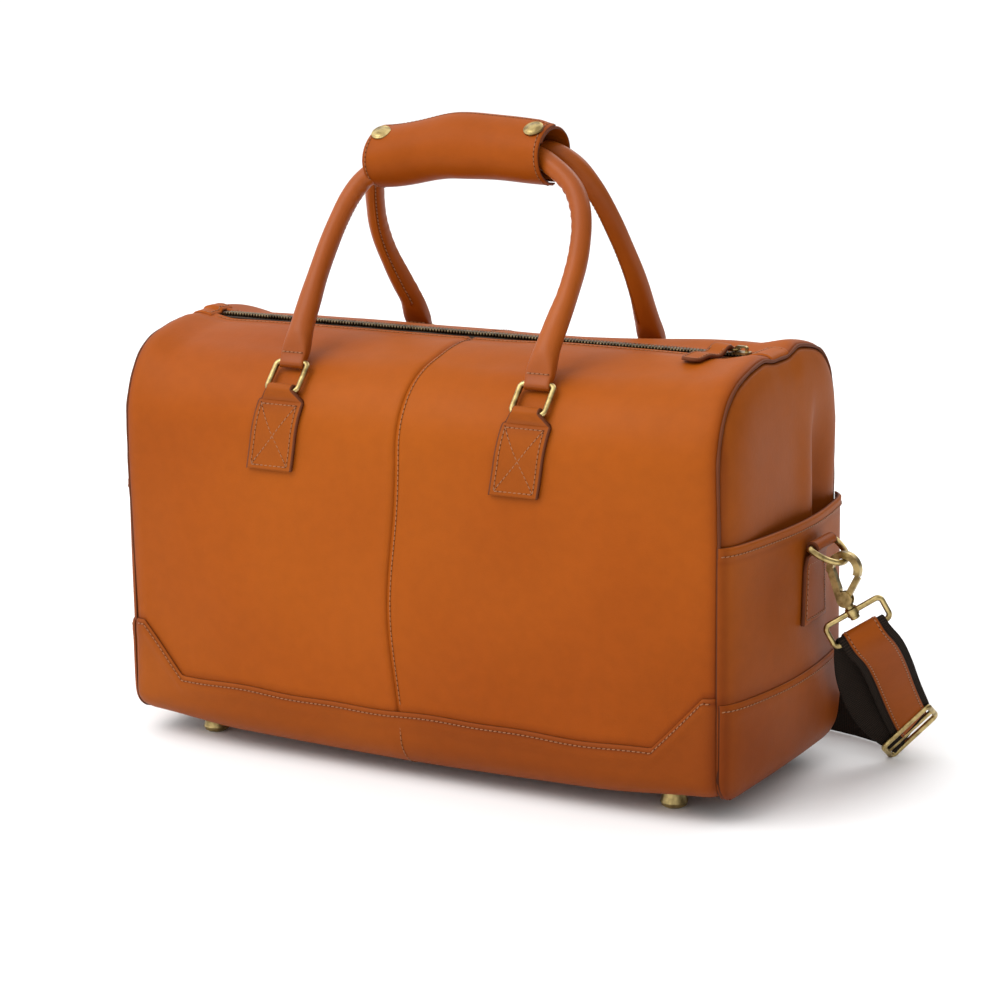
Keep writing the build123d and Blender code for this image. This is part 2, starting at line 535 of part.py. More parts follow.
# ---- shoulder strap ------------------------------------------------------------------------------
# The strap's centre line and the direction of its width. It starts at the adjuster on the
# floor, goes up to the right hook and back down, along the floor behind the bag on its edge,
# and up to the left hook, where its end is folded over and sewn.
STRAP_ROUTE = [
    ((310, 112, 20), (0.59, 0.46, 0.67)),
    ((301, 95, 31), (0.62, 0.47, 0.62)),
    ((293, 74, 53), (0.68, 0.50, 0.54)),
    ((292, 52, 83), (0.72, 0.50, 0.48)),
    ((298, 34, 111), (0.72, 0.50, 0.48)),
    ((303.8, 24.5, 124.6), (0.72, 0.50, 0.48)),
    ((308.2, 18.2, 124.9), (0.72, 0.50, 0.48)),
    ((313.5, 20.5, 115), (0.72, 0.50, 0.48)),
    ((316, 38, 102), (0.72, 0.50, 0.48)),
    ((315, 60, 81), (0.70, 0.50, 0.50)),
    ((313, 84, 56), (0.64, 0.48, 0.60)),
    ((314, 104, 33), (0.59, 0.46, 0.67)),
    ((312, 119, 23), (0.48, 0.40, 0.78)),
    ((300, 128, 21), (0.26, 0.22, 0.94)),
    ((282, 134, 20), (0.08, 0.08, 0.99)),
    ((256, 143, 20), (0, 0, 1)),
    ((222, 151, 20), (0, 0, 1)),
    ((180, 152, 20), (0, 0, 1)),
    ((132, 146, 20), (0, 0, 1)),
    ((82, 145, 20), (0, 0, 1)),
    ((32, 151, 20), (0, 0, 1)),
    ((-18, 156, 20), (0, 0, 1)),
    ((-68, 154, 20), (0, 0, 1)),
    ((-118, 148, 20), (0, 0, 1)),
    ((-168, 149, 20), (0, 0, 1)),
    ((-212, 154, 20), (0, 0, 1)),
    ((-250, 151, 20), (-0.05, 0, 1)),
    ((-282, 138, 22), (-0.20, 0.12, 0.95)),
    ((-303, 116, 32), (-0.42, 0.30, 0.82)),
    ((-313, 90, 52), (-0.60, 0.42, 0.66)),
    ((-316, 64, 82), (-0.70, 0.50, 0.50)),
    ((-317, 40, 103), (-0.72, 0.50, 0.48)),
    ((-313.5, 21, 115.5), (-0.72, 0.50, 0.48)),
    ((-308.2, 18.2, 124.9), (-0.72, 0.50, 0.48)),
    ((-303.8, 24.5, 124.6), (-0.72, 0.50, 0.48)),
    ((-301, 35, 111), (-0.72, 0.50, 0.48)),
    ((-305, 48, 93), (-0.72, 0.50, 0.48)),
]


def corner_radius(before, corner, after):
    """The rounding of one corner of the strap's route, as large as its two runs allow."""
    run = min((corner - before).length, (after - corner).length)
    turn = math.radians((corner - before).get_angle(after - corner))
    return 0.45 * run / math.tan(turn / 2)


strap_points = [Vector(*place) for place, _ in STRAP_ROUTE]
strap_radii = [corner_radius(*strap_points[i:i + 3]) for i in range(len(strap_points) - 2)]
strap_path = FilletPolyline(*strap_points, radius=strap_radii).wire()
print("strap length", round(strap_path.length), "radii", [round(r) for r in strap_radii])


def strap_stations():
    """Places along the strap's path for its cross-sections: the ends of each straight and steps round each arc."""
    stations = []
    for edge in strap_path.edges():
        turn = (edge % 0).get_angle(edge % 1)
        steps = max(1, math.ceil(turn / ARC_STEP_DEG))
        stations += [(edge @ (i / steps), edge % (i / steps)) for i in range(steps)]
    return stations + [(strap_path @ 1, strap_path % 1)]


def strap_width_at(point, first):
    """The strap's width direction at a point, blended between two route points, and the first one's number."""
    best = None
    for i in range(first, min(first + 2, len(strap_points) - 1)):
        run = strap_points[i + 1] - strap_points[i]
        share = min(max((point - strap_points[i]).dot(run) / run.dot(run), 0), 1)
        gap = (strap_points[i] + run * share - point).length
        if best is None or gap < best[0] - 0.01:
            ahead = Vector(*STRAP_ROUTE[i + 1][1])
            behind = Vector(*STRAP_ROUTE[i][1])
            best = (gap, behind * (1 - share) + ahead * share, i)
    return best[1].normalized(), best[2]


def ribbon(width, low, high):
    """A flat strip along the strap's path, between two distances from its centre line."""
    sections = []
    run = 0
    for centre, along in strap_stations():
        across, run = strap_width_at(centre, run)
        across = (across - along * across.dot(along)).normalized()
        out = along.cross(across)
        corners = [
            centre + across * (width / 2) + out * low,
            centre - across * (width / 2) + out * low,
            centre - across * (width / 2) + out * high,
            centre + across * (width / 2) + out * high,
        ]
        sections.append(Wire.make_polygon(corners, close=True))
    return Solid.make_loft(sections, ruled=True)


webbing = ribbon(STRAP_WIDTH, -WEBBING_THICK, 0)
facing = ribbon(FACING_WIDTH, 0.05, 0.05 + FACING_THICK)
print("webbing fill", round(webbing.volume / (strap_path.length * STRAP_WIDTH * WEBBING_THICK), 3))
save("strap_webbing", webbing)
save("strap_facing", facing)

adjuster_across = Vector(0.59, 0.46, 0.67).normalized()
adjuster_along = Vector(-0.05, 0.80, -0.56)
adjuster_along = (adjuster_along - adjuster_across * adjuster_along.dot(adjuster_across)).normalized()
adjuster_place = Vector(311, 111, 21.5)
adjuster_plane = Plane(
    origin=adjuster_place, x_dir=adjuster_across, z_dir=adjuster_across.cross(adjuster_along)
)
adjuster = wire_loop(adjuster_plane, STRAP_WIDTH + 8, 24, 4.0, 2.1)
adjuster = adjuster + rod(
    adjuster_place - adjuster_across * (STRAP_WIDTH / 2 + 4), adjuster_across, STRAP_WIDTH + 8, 1.7
)
save("strap_adjuster", adjuster)
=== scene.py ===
"""The looks of a leather duffel bag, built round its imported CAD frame."""
import math

import bmesh
import bpy
import numpy as np
from mathutils import Matrix, Vector


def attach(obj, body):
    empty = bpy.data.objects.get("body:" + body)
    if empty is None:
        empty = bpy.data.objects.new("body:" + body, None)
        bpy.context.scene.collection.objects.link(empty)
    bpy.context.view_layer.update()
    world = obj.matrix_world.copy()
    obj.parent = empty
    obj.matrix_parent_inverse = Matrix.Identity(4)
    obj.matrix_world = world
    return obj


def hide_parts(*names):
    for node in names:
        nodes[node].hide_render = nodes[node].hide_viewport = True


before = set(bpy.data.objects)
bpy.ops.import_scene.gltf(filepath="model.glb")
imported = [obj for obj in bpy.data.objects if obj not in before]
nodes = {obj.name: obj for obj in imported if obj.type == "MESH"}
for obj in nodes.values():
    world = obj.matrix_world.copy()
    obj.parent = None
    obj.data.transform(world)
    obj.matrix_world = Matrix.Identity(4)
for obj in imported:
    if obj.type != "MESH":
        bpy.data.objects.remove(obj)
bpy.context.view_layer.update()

# Shapes below are worked out in millimetres and written to the meshes in metres.
MM = 0.001


# ---- camera ----
def place_camera(azimuth, elevation, roll, target, distance, lens):
    """A camera that looks at a target from an azimuth and elevation, in degrees."""
    az, el, turn = (math.radians(a) for a in (azimuth, elevation, roll))
    back = Vector((math.sin(az) * math.cos(el), -math.cos(az) * math.cos(el), math.sin(el)))
    level = Vector((math.cos(az), math.sin(az), 0))
    upright = back.cross(level)
    right = level * math.cos(turn) + upright * math.sin(turn)
    up = upright * math.cos(turn) - level * math.sin(turn)
    data = bpy.data.cameras.new("camera")
    data.lens = lens
    data.sensor_width = 36.0
    camera = bpy.data.objects.new("camera", data)
    bpy.context.scene.collection.objects.link(camera)
    turned = Matrix((right, up, back)).transposed().to_4x4()
    camera.matrix_world = Matrix.Translation(Vector(target) + back * distance) @ turned
    bpy.context.scene.camera = camera


place_camera(29.5, 12.9, -0.7, (0.0194, 0, 0.1944), 2.189, 103.59)


# ---- materials ----
class Paint:
    """A new material and short ways to add nodes to it."""

    def __init__(self, name, **constants):
        self.material = bpy.data.materials.new(name)
        self.material.use_nodes = True
        self.tree = self.material.node_tree
        self.shader = self.tree.nodes["Principled BSDF"]
        for socket, value in constants.items():
            self.shader.inputs[self.title(socket)].default_value = value
        self.place = self.add("ShaderNodeTexCoord").outputs["Object"]

    @staticmethod
    def title(word):
        return word.replace("_", " ").title().replace("Ior", "IOR")

    def add(self, kind, **inputs):
        made = self.tree.nodes.new(kind)
        for socket, value in inputs.items():
            self.feed(made.inputs[self.title(socket)], value)
        return made

    def feed(self, socket, value):
        if isinstance(value, bpy.types.NodeSocket):
            self.tree.links.new(value, socket)
        else:
            socket.default_value = value

    def noise(self, scale, detail=2.0):
        made = self.add("ShaderNodeTexNoise", vector=self.place, scale=scale, detail=detail)
        return made.outputs["Fac"]

    def cells(self, scale):
        made = self.add("ShaderNodeTexVoronoi", vector=self.place, scale=scale)
        return made.outputs["Distance"]

    def ramp(self, value, *stops):
        made = self.add("ShaderNodeValToRGB", fac=value)
        points = made.color_ramp.elements
        while len(points) < len(stops):
            points.new(0.5)
        for point, (at, colour) in zip(points, stops):
            point.position = at
            point.color = (*colour, 1)
        return made.outputs["Color"]

    def mix(self, share, first, second, how="MIX"):
        made = self.tree.nodes.new("ShaderNodeMix")
        made.data_type = "RGBA"
        made.blend_type = how
        self.feed(made.inputs[0], share)
        for socket, value in ((made.inputs[6], first), (made.inputs[7], second)):
            self.feed(socket, value if isinstance(value, bpy.types.NodeSocket) else (*value, 1))
        return made.outputs[2]

    def between(self, value, low, high):
        """The value 0 to 1 turned into low to high."""
        return self.add("ShaderNodeMapRange", value=value, to_min=low, to_max=high).outputs[0]

    def bumps(self, *layers):
        """Bump from (height, strength, depth in metres), one on the other."""
        normal = None
        for height, strength, depth in layers:
            bump = self.add("ShaderNodeBump", strength=strength, distance=depth, height=height)
            if normal:
                self.feed(bump.inputs["Normal"], normal)
            normal = bump.outputs["Normal"]
        self.feed(self.shader.inputs["Normal"], normal)

    def attribute(self, name):
        made = self.add("ShaderNodeAttribute")
        made.attribute_name = name
        return made.outputs["Fac"]

    def done(self, colour, roughness):
        self.feed(self.shader.inputs["Base Color"], colour)
        self.feed(self.shader.inputs["Roughness"], roughness)
        return self.material


def leather(name, light, middle, dark, rough=(0.42, 0.58), gloss=0.08):
    """Smooth pull-up leather: tones that drift, fine pores, and darkening where the mesh's shade
    attribute says: painted shade, and on some pieces a darker tone of their own.
    """
    paint = Paint(name, specular_ior_level=gloss)
    tone = paint.ramp(paint.noise(5.0, 1.5), (0.25, light), (0.5, middle), (0.8, dark))
    spots = paint.noise(95.0, 4.0)
    mottle = paint.ramp(spots, (0.35, (0.96, 0.96, 0.96)), (0.65, (1.03, 1.02, 1.01)))
    tone = paint.mix(0.8, tone, mottle, "MULTIPLY")
    # darkening from the shade attribute: painted shade, and some pieces' own darker tone
    shaded = paint.mix(1.0, tone, (0.52, 0.40, 0.30), "MULTIPLY")
    tone = paint.mix(paint.attribute("shade"), tone, shaded)
    paint.bumps(
        (paint.noise(24.0, 2.0), 0.25, 0.0016),
        (paint.noise(330.0, 3.0), 0.22, 0.0004),
        (paint.cells(1250.0), 0.20, 0.00022),
    )
    return paint.done(tone, paint.between(paint.noise(26.0, 3.0), *rough))


def metal(name, bright, dull, rough=(0.24, 0.42)):
    """Antique plating: bright where it is rubbed, brown in between."""
    paint = Paint(name, metallic=1.0)
    tone = paint.ramp(paint.noise(150.0, 4.0), (0.36, dull), (0.62, bright))
    paint.bumps((paint.noise(700.0, 2.0), 0.12, 0.0002))
    return paint.done(tone, paint.between(paint.noise(220.0, 3.0), *rough))


def cloth(name, light, dark, scale):
    """Plain weave: two sets of threads, one over the other."""
    paint = Paint(name, specular_ior_level=0.1)
    threads = []
    for direction in ("X", "Z"):
        wave = paint.add("ShaderNodeTexWave", scale=scale, distortion=0.6, vector=paint.place)
        wave.bands_direction = direction
        threads.append(wave.outputs["Fac"])
    weave = paint.mix(0.5, threads[0], threads[1])
    tone = paint.ramp(weave, (0.3, dark), (0.7, light))
    paint.bumps((weave, 0.5, 0.0004), (paint.noise(900.0), 0.2, 0.0002))
    return paint.done(tone, paint.between(paint.noise(60.0), 0.75, 0.95))


def webbing_cloth(name, light, dark):
    """Thick woven webbing: ribs across the strap, threads along it, from the strip's own map."""
    paint = Paint(name, specular_ior_level=0.05)
    strip = paint.add("ShaderNodeUVMap").outputs["UV"]
    ribs = paint.add("ShaderNodeTexWave", scale=180.0, distortion=1.2, vector=strip)
    ribs.bands_direction = "X"
    threads = paint.add("ShaderNodeTexWave", scale=260.0, distortion=0.8, vector=strip)
    threads.bands_direction = "Y"
    weave = paint.mix(0.45, ribs.outputs["Fac"], threads.outputs["Fac"])
    tone = paint.ramp(weave, (0.25, dark), (0.75, light))
    paint.bumps((weave, 0.7, 0.0006), (paint.noise(800.0), 0.3, 0.0003))
    return paint.done(tone, paint.between(paint.noise(70.0), 0.78, 0.95))


def thread(name, light, dark):
    """Waxed thread, twisted."""
    paint = Paint(name, sheen_weight=0.15)
    twist = paint.noise(1600.0, 2.0)
    paint.bumps((twist, 0.4, 0.0002))
    return paint.done(paint.ramp(twist, (0.35, dark), (0.65, light)), paint.between(twist, 0.5, 0.7))


TAN = leather("tan_leather", (0.312, 0.071, 0.004), (0.283, 0.060, 0.003), (0.236, 0.045, 0.002))
ROLLED = leather(
    "tan_rolled_leather", (0.318, 0.075, 0.006), (0.290, 0.064, 0.004), (0.245, 0.049, 0.003),
    rough=(0.34, 0.48), gloss=0.20,
)
TAN_DEEP = leather(
    "tan_leather_deep", (0.292, 0.070, 0.006), (0.260, 0.058, 0.004), (0.212, 0.043, 0.003)
)
EDGE = leather(
    "painted_edge", (0.150, 0.045, 0.018), (0.120, 0.035, 0.014), (0.080, 0.024, 0.010),
    rough=(0.45, 0.6),
)
# dark leather for the pricked holes between stitches: painted shade for the holes' depth
HOLE_SHADE = leather(
    "stitch_hole_shade", (0.100, 0.030, 0.010), (0.080, 0.024, 0.008), (0.060, 0.018, 0.006),
    rough=(0.6, 0.7),
)
BRASS = metal("antique_brass", (0.500, 0.380, 0.160), (0.200, 0.140, 0.055))
DARK_BRASS = metal("dark_teeth", (0.170, 0.125, 0.070), (0.060, 0.042, 0.024))
TAPE = cloth("zip_tape_cloth", (0.075, 0.052, 0.040), (0.025, 0.018, 0.015), 300.0)
LINING = cloth("lining_cloth", (0.330, 0.240, 0.160), (0.220, 0.155, 0.100), 220.0)
ROPE = cloth("rope_core", (0.720, 0.660, 0.560), (0.520, 0.460, 0.370), 150.0)
BOARD = cloth("base_board_fibre", (0.100, 0.095, 0.090), (0.060, 0.056, 0.052), 90.0)
WEBBING = webbing_cloth("strap_webbing_weave", (0.026, 0.018, 0.013), (0.008, 0.006, 0.005))
THREAD = thread("tan_thread", (0.310, 0.115, 0.030), (0.200, 0.066, 0.015))


# ---- mesh helpers ----
SEWN = (TAN_DEEP, EDGE)


def make(name, points, faces, body="root", materials=SEWN, parts=None, uv=None):
    """A mesh piece from points in millimetres; parts gives each face's material number."""
    mesh = bpy.data.meshes.new(name)
    mesh.from_pydata((np.asarray(points, float) * MM).tolist(), [], faces)
    for material in materials:
        mesh.materials.append(material)
    if parts is not None:
        mesh.polygons.foreach_set("material_index", parts)
    if uv is not None:
        corners = np.zeros(len(mesh.loops), int)
        mesh.loops.foreach_get("vertex_index", corners)
        layer = mesh.uv_layers.new(name="UVMap")
        layer.data.foreach_set("uv", (np.asarray(uv, float)[corners] * MM).ravel())
    work = bmesh.new()
    work.from_mesh(mesh)
    bmesh.ops.recalc_face_normals(work, faces=work.faces)
    work.to_mesh(mesh)
    work.free()
    mesh.polygons.foreach_set("use_smooth", [True] * len(mesh.polygons))
    piece = bpy.data.objects.new(name, mesh)
    bpy.context.scene.collection.objects.link(piece)
    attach(piece, body)
    return piece


def shade(piece, amount):
    """Darkens a piece's leather, as painted shade and as a darker tone of its own; amount is a function
    of its points in millimetres.
    """
    points = np.array([v.co for v in piece.data.vertices]) / MM
    values = np.clip(amount(*points.T), 0, 1)
    layer = piece.data.attributes.new("shade", "FLOAT", "POINT")
    layer.data.foreach_set("value", values.astype(np.float32))


def unit(v):
    v = np.asarray(v, float)
    return v / np.maximum(np.linalg.norm(v, axis=-1, keepdims=True), 1e-9)


def soft_step(value, low, high):
    t = np.clip((value - low) / (high - low), 0, 1)
    return t * t * (3 - 2 * t)


def mound(value, centre, spread):
    return np.exp(-(((value - centre) / spread) ** 2))


def ripple(a, b, seed):
    """Smooth, repeatable unevenness between about -1 and 1."""
    total = 0
    for k in range(5):
        angle = seed * 1.7 + k * 2.4
        pace = 0.7 + 0.33 * k
        run = a * np.cos(angle) + b * np.sin(angle)
        total = total + np.sin(pace * run + seed * 3.1 + k * 1.3)
    return total / 3.2


def run_along(points):
    """The distance along a line at each of its points."""
    return np.concatenate([[0], np.cumsum(np.linalg.norm(np.diff(points, axis=0), axis=1))])


def loft_faces(rings, around, loop=False, first=0):
    """The faces of a skin over rings of points, numbered from first."""
    faces = []
    for i in range(rings if loop else rings - 1):
        after = (i + 1) % rings
        for j in range(around):
            k = (j + 1) % around
            a, b = first + i * around, first + after * around
            faces.append((a + j, a + k, b + k, b + j))
    if not loop:
        last = first + (rings - 1) * around
        faces.append(tuple(range(first, first + around))[::-1])
        faces.append(tuple(range(last, last + around)))
    return faces


def loft(
    name, rings, body="root", materials=SEWN, side_parts=None, loop=False, uv=False
):
    """A closed skin over rings of points; side_parts gives the material of each ring side."""
    rings = np.asarray(rings, float)
    count, around = rings.shape[:2]
    faces = loft_faces(count, around, loop)
    parts = None
    if side_parts is not None:
        parts = list(side_parts) * (count if loop else count - 1)
        parts += [max(side_parts)] * (len(faces) - len(parts))
    run = None
    if uv:
        along, across = run_along(rings.mean(1)), run_along(rings[0])
        run = np.stack(np.meshgrid(along, across, indexing="ij"), -1).reshape(-1, 2)
    return make(name, rings.reshape(-1, 3), faces, body, materials, parts, run)


def slab(name, outer, inner, body="root", materials=SEWN, close=0.35):
    """A sheet between two grids of points, with a rounded, painted rim of its own material."""
    rows, columns = outer.shape[:2]
    soft = outer.copy()
    border = np.zeros((rows, columns), bool)
    border[[0, -1], :] = True
    border[:, [0, -1]] = True
    soft[border] = outer[border] + (inner[border] - outer[border]) * close
    points = np.concatenate([soft.reshape(-1, 3), inner.reshape(-1, 3)])
    low = rows * columns
    faces, parts = [], []
    for i in range(rows - 1):
        for j in range(columns - 1):
            a, b = i * columns + j, (i + 1) * columns + j
            faces.append((a, a + 1, b + 1, b))
            faces.append((low + a, low + b, low + b + 1, low + a + 1))
            parts += [0, 0]
    rim = [(0, j) for j in range(columns)] + [(i, columns - 1) for i in range(1, rows)]
    rim += [(rows - 1, j) for j in range(columns - 2, -1, -1)]
    rim += [(i, 0) for i in range(rows - 2, 0, -1)]
    for (i, j), (k, m) in zip(rim, rim[1:] + rim[:1]):
        a, b = i * columns + j, k * columns + m
        faces.append((a, low + a, low + b, b))
        parts.append(len(materials) - 1)
    return make(name, points, faces, body, materials, parts)


def steps(low, high, count, edge=0.8):
    """Even steps from low to high, with one close to each end, where a sheet's edge rounds over."""
    inner = np.linspace(low + edge, high - edge, count)
    return np.concatenate([[low], inner, [high]])


def strip_profile(width, low, high, columns=8, round_off=0.5):
    """The closed outline of a flat strip's section: (across, out) and which sides are its edges."""
    half = width / 2
    top = [(a, high) for a in np.linspace(half - round_off, round_off - half, columns)]
    left = [(-half, high - round_off), (-half, low + round_off)]
    under = [(a, low) for a in np.linspace(round_off - half, half - round_off, columns)]
    right = [(half, low + round_off), (half, high - round_off)]
    outline = top + left + under + right
    sides = [0] * (columns - 1) + [1] * 3 + [0] * (columns - 1) + [1] * 3
    return np.array(outline), sides


def strip_rings(points, across, out, profile):
    """The profile's outline at each point of a line, from its width and outward directions."""
    return (
        points[:, None, :]
        + across[:, None, :] * profile[None, :, :1]
        + out[:, None, :] * profile[None, :, 1:]
    )


def smooth_line(points, per_run=8):
    """A smooth line through points."""
    points = np.asarray(points, float)
    ends = np.concatenate([[2 * points[0] - points[1]], points, [2 * points[-1] - points[-2]]])
    line = []
    for i in range(1, len(ends) - 2):
        p0, p1, p2, p3 = ends[i - 1:i + 3]
        for t in np.arange(per_run) / per_run:
            line.append(
                0.5 * (2 * p1 + (p2 - p0) * t + (2 * p0 - 5 * p1 + 4 * p2 - p3) * t * t
                       + (3 * p1 - p0 - 3 * p2 + p3) * t ** 3)
            )
    line.append(ends[-2])
    return np.array(line)


def tangents(points):
    return unit(np.gradient(points, axis=0))


def evenly(points, normals, pitch):
    """Points, normals and directions at an even pitch along a line."""
    run = run_along(points)
    places = np.arange(pitch / 2, run[-1], pitch)

    def pick(values):
        return np.stack([np.interp(places, run, values[:, k]) for k in range(3)], 1)

    return pick(points), unit(pick(normals)), unit(pick(tangents(points)))


def stitch_piece(name, lines, body="root", pitch=3.8, length=2.7, radius=0.42):
    """Rows of raised stitches with a dark bead between each two, painted shade for a pricked hole;
    lines are (points, normals).
    """
    points, faces, parts = [], [], []

    def bead(centre, ahead, side, up, half, wide, high, part):
        first = len(points)
        for at, size in ((-1, 0.3), (-0.6, 0.9), (0, 1), (0.6, 0.9), (1, 0.3)):
            for k in range(6):
                turn = math.pi * k / 3
                points.append(
                    centre + ahead * half * at + side * wide * size * math.cos(turn)
                    + up * high * size * math.sin(turn)
                )
        skin = loft_faces(5, 6, first=first)
        faces.extend(skin)
        parts.extend([part] * len(skin))

    for line, normals in lines:
        for centre, up, ahead in zip(*evenly(line, normals, pitch)):
            side = unit(np.cross(up, ahead))
            slant = unit(ahead + side * 0.10)
            bead(centre + up * 0.12, slant, side, up, length / 2, radius, radius * 0.8, 0)
            # a flat dark bead, painted shade where a pricked hole would be
            bead(centre + ahead * pitch / 2 + up * 0.02, ahead, side, up, 0.55, 0.5, 0.16, 1)
    return make(name, points, faces, body, materials=[THREAD, HOLE_SHADE], parts=parts)


def row(points, out):
    """A line of stitching on flat leather: its points and the one direction that it faces."""
    return points, np.tile(np.asarray(out, float), (len(points), 1))


def tube_rings(line, first, second, radius, around):
    """Rings round a line; first and second are the directions across it at each point."""
    turn = np.linspace(0, 2 * math.pi, around, endpoint=False)
    across = np.cos(turn)[:, None] * first[:, None, :] + np.sin(turn)[:, None] * second[:, None, :]
    return line[:, None, :] + across * np.reshape(radius, (-1, 1, 1))


# ---- shoulder strap, made first ----
# The strap's route and the direction of its width, from the adjuster on the floor up to the
# right hook, back down, along the floor behind the bag, and up to the left hook.
STRAP_ROUTE = [
    ((0.3100, 0.1120, 0.0200), (0.59, 0.46, 0.67)),
    ((0.3010, 0.0950, 0.0310), (0.62, 0.47, 0.62)),
    ((0.2930, 0.0740, 0.0530), (0.68, 0.50, 0.54)),
    ((0.2920, 0.0520, 0.0830), (0.72, 0.50, 0.48)),
    ((0.2980, 0.0340, 0.1110), (0.72, 0.50, 0.48)),
    ((0.3038, 0.0245, 0.1246), (0.72, 0.50, 0.48)),
    ((0.3082, 0.0182, 0.1249), (0.72, 0.50, 0.48)),
    ((0.3135, 0.0205, 0.1150), (0.72, 0.50, 0.48)),
    ((0.3160, 0.0380, 0.1020), (0.72, 0.50, 0.48)),
    ((0.3150, 0.0600, 0.0810), (0.70, 0.50, 0.50)),
    ((0.3130, 0.0840, 0.0560), (0.64, 0.48, 0.60)),
    ((0.3140, 0.1040, 0.0330), (0.59, 0.46, 0.67)),
    ((0.3120, 0.1190, 0.0230), (0.48, 0.40, 0.78)),
    ((0.3000, 0.1280, 0.0210), (0.26, 0.22, 0.94)),
    ((0.2820, 0.1340, 0.0200), (0.08, 0.08, 0.99)),
    ((0.2560, 0.1430, 0.0200), (0, 0, 1)),
    ((0.2220, 0.1510, 0.0200), (0, 0, 1)),
    ((0.1800, 0.1520, 0.0200), (0, 0, 1)),
    ((0.1320, 0.1460, 0.0200), (0, 0, 1)),
    ((0.0820, 0.1450, 0.0200), (0, 0, 1)),
    ((0.0320, 0.1510, 0.0200), (0, 0, 1)),
    ((-0.0180, 0.1560, 0.0200), (0, 0, 1)),
    ((-0.0680, 0.1540, 0.0200), (0, 0, 1)),
    ((-0.1180, 0.1480, 0.0200), (0, 0, 1)),
    ((-0.1680, 0.1490, 0.0200), (0, 0, 1)),
    ((-0.2120, 0.1540, 0.0200), (0, 0, 1)),
    ((-0.2500, 0.1510, 0.0200), (-0.05, 0, 1)),
    ((-0.2820, 0.1380, 0.0220), (-0.20, 0.12, 0.95)),
    ((-0.3030, 0.1160, 0.0320), (-0.42, 0.30, 0.82)),
    ((-0.3130, 0.0900, 0.0520), (-0.60, 0.42, 0.66)),
    ((-0.3160, 0.0640, 0.0820), (-0.70, 0.50, 0.50)),
    ((-0.3170, 0.0400, 0.1030), (-0.72, 0.50, 0.48)),
    ((-0.3135, 0.0210, 0.1155), (-0.72, 0.50, 0.48)),
    ((-0.3082, 0.0182, 0.1249), (-0.72, 0.50, 0.48)),
    ((-0.3038, 0.0245, 0.1246), (-0.72, 0.50, 0.48)),
    ((-0.3010, 0.0350, 0.1110), (-0.72, 0.50, 0.48)),
    ((-0.3050, 0.0480, 0.0930), (-0.72, 0.50, 0.48)),
]
STRAP_WIDTH = 38.0
FACING_WIDTH = 27.0


def route_points():
    """The points of the strap's smooth line, in metres."""
    data = bpy.data.curves.new("strap_route", "CURVE")
    data.dimensions = "3D"
    data.resolution_u = 16
    spline = data.splines.new("NURBS")
    spline.points.add(len(STRAP_ROUTE) - 1)
    for point, (place, _) in zip(spline.points, STRAP_ROUTE):
        point.co = (*place, 1)
    spline.order_u = 3
    spline.use_endpoint_u = True
    guide = bpy.data.objects.new("strap_route", data)
    bpy.context.scene.collection.objects.link(guide)
    bpy.context.view_layer.update()
    mesh = bpy.data.meshes.new_from_object(guide)
    line = np.array([v.co for v in mesh.vertices], float)
    bpy.data.objects.remove(guide)
    bpy.data.meshes.remove(mesh)
    bpy.data.curves.remove(data)
    return line


def strap_widths(line):
    """The strap's width direction at each point of its line, blended between the route's points."""
    route = np.array([place for place, _ in STRAP_ROUTE]) / MM
    turns = np.array([across for _, across in STRAP_ROUTE], float)
    first, widths = 0, []
    for point in line:
        best = None
        for i in range(first, min(first + 2, len(route) - 1)):
            run = route[i + 1] - route[i]
            share = np.clip((point - route[i]) @ run / (run @ run), 0, 1)
            gap = np.linalg.norm(route[i] + run * share - point)
            if best is None or gap < best[0] - 0.01:
                best = (gap, turns[i] * (1 - share) + turns[i + 1] * share, i)
        widths.append(best[1])
        first = best[2]
    return np.array(widths)


strap_line_m = route_points()
strap_line = strap_line_m / MM
strap_ahead = tangents(strap_line)
strap_across = strap_widths(strap_line)
strap_across = unit(strap_across - strap_ahead * (strap_across * strap_ahead).sum(1, keepdims=True))
strap_out = np.cross(strap_ahead, strap_across)

web_profile, _ = strip_profile(STRAP_WIDTH, -2.2, 0.0, 12, 0.8)
webbing = loft(
    "strap_webbing_woven",
    strip_rings(strap_line, strap_across, strap_out, web_profile),
    materials=[WEBBING], uv=True,
)
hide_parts("strap_webbing")
face_profile, face_sides = strip_profile(FACING_WIDTH, 0.05, 1.55, 10, 0.45)
face_crown = 1 - (face_profile[:, 0] / (FACING_WIDTH / 2)) ** 2
face_profile[:, 1] += 0.35 * face_crown * (face_profile[:, 1] > 1)
facing = loft(
    "strap_leather_facing",
    strip_rings(strap_line, strap_across, strap_out, face_profile),
    side_parts=face_sides, uv=True,
)
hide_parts("strap_facing")
strap_rows = [
    (strap_line + strap_across * a + strap_out * 1.62, strap_out) for a in (-11.3, 11.3)
]
strap_stitches = stitch_piece("strap_stitches", strap_rows)

# ---- the bag's section ----
# The D-shaped section is followed from the middle of the bottom (0) up one side to the top.
HALF_LENGTH = 250.0
UNDER_HALF = 80.0
CORNER_Y, CORNER_Z, CORNER_R = 93.0, 37.2, 20.0
WALL_TOP, SHOULDER_Y, SHOULDER_R = 252.7, 51.0, 62.0
CROWN_R, CROWN_Z = 250.0, 71.75
CROWN_LEAN = math.asin(SHOULDER_Y / (CROWN_R - SHOULDER_R))
S_CORNER = CORNER_Y
S_WALL = S_CORNER + CORNER_R * math.pi / 2
S_SHOULDER = S_WALL + WALL_TOP - CORNER_Z
S_CROWN = S_SHOULDER + SHOULDER_R * (math.pi / 2 - CROWN_LEAN)
S_TOP = S_CROWN + CROWN_R * CROWN_LEAN
ZIP_HALF_GAP = 6.0
CHAPE_X = 104.0


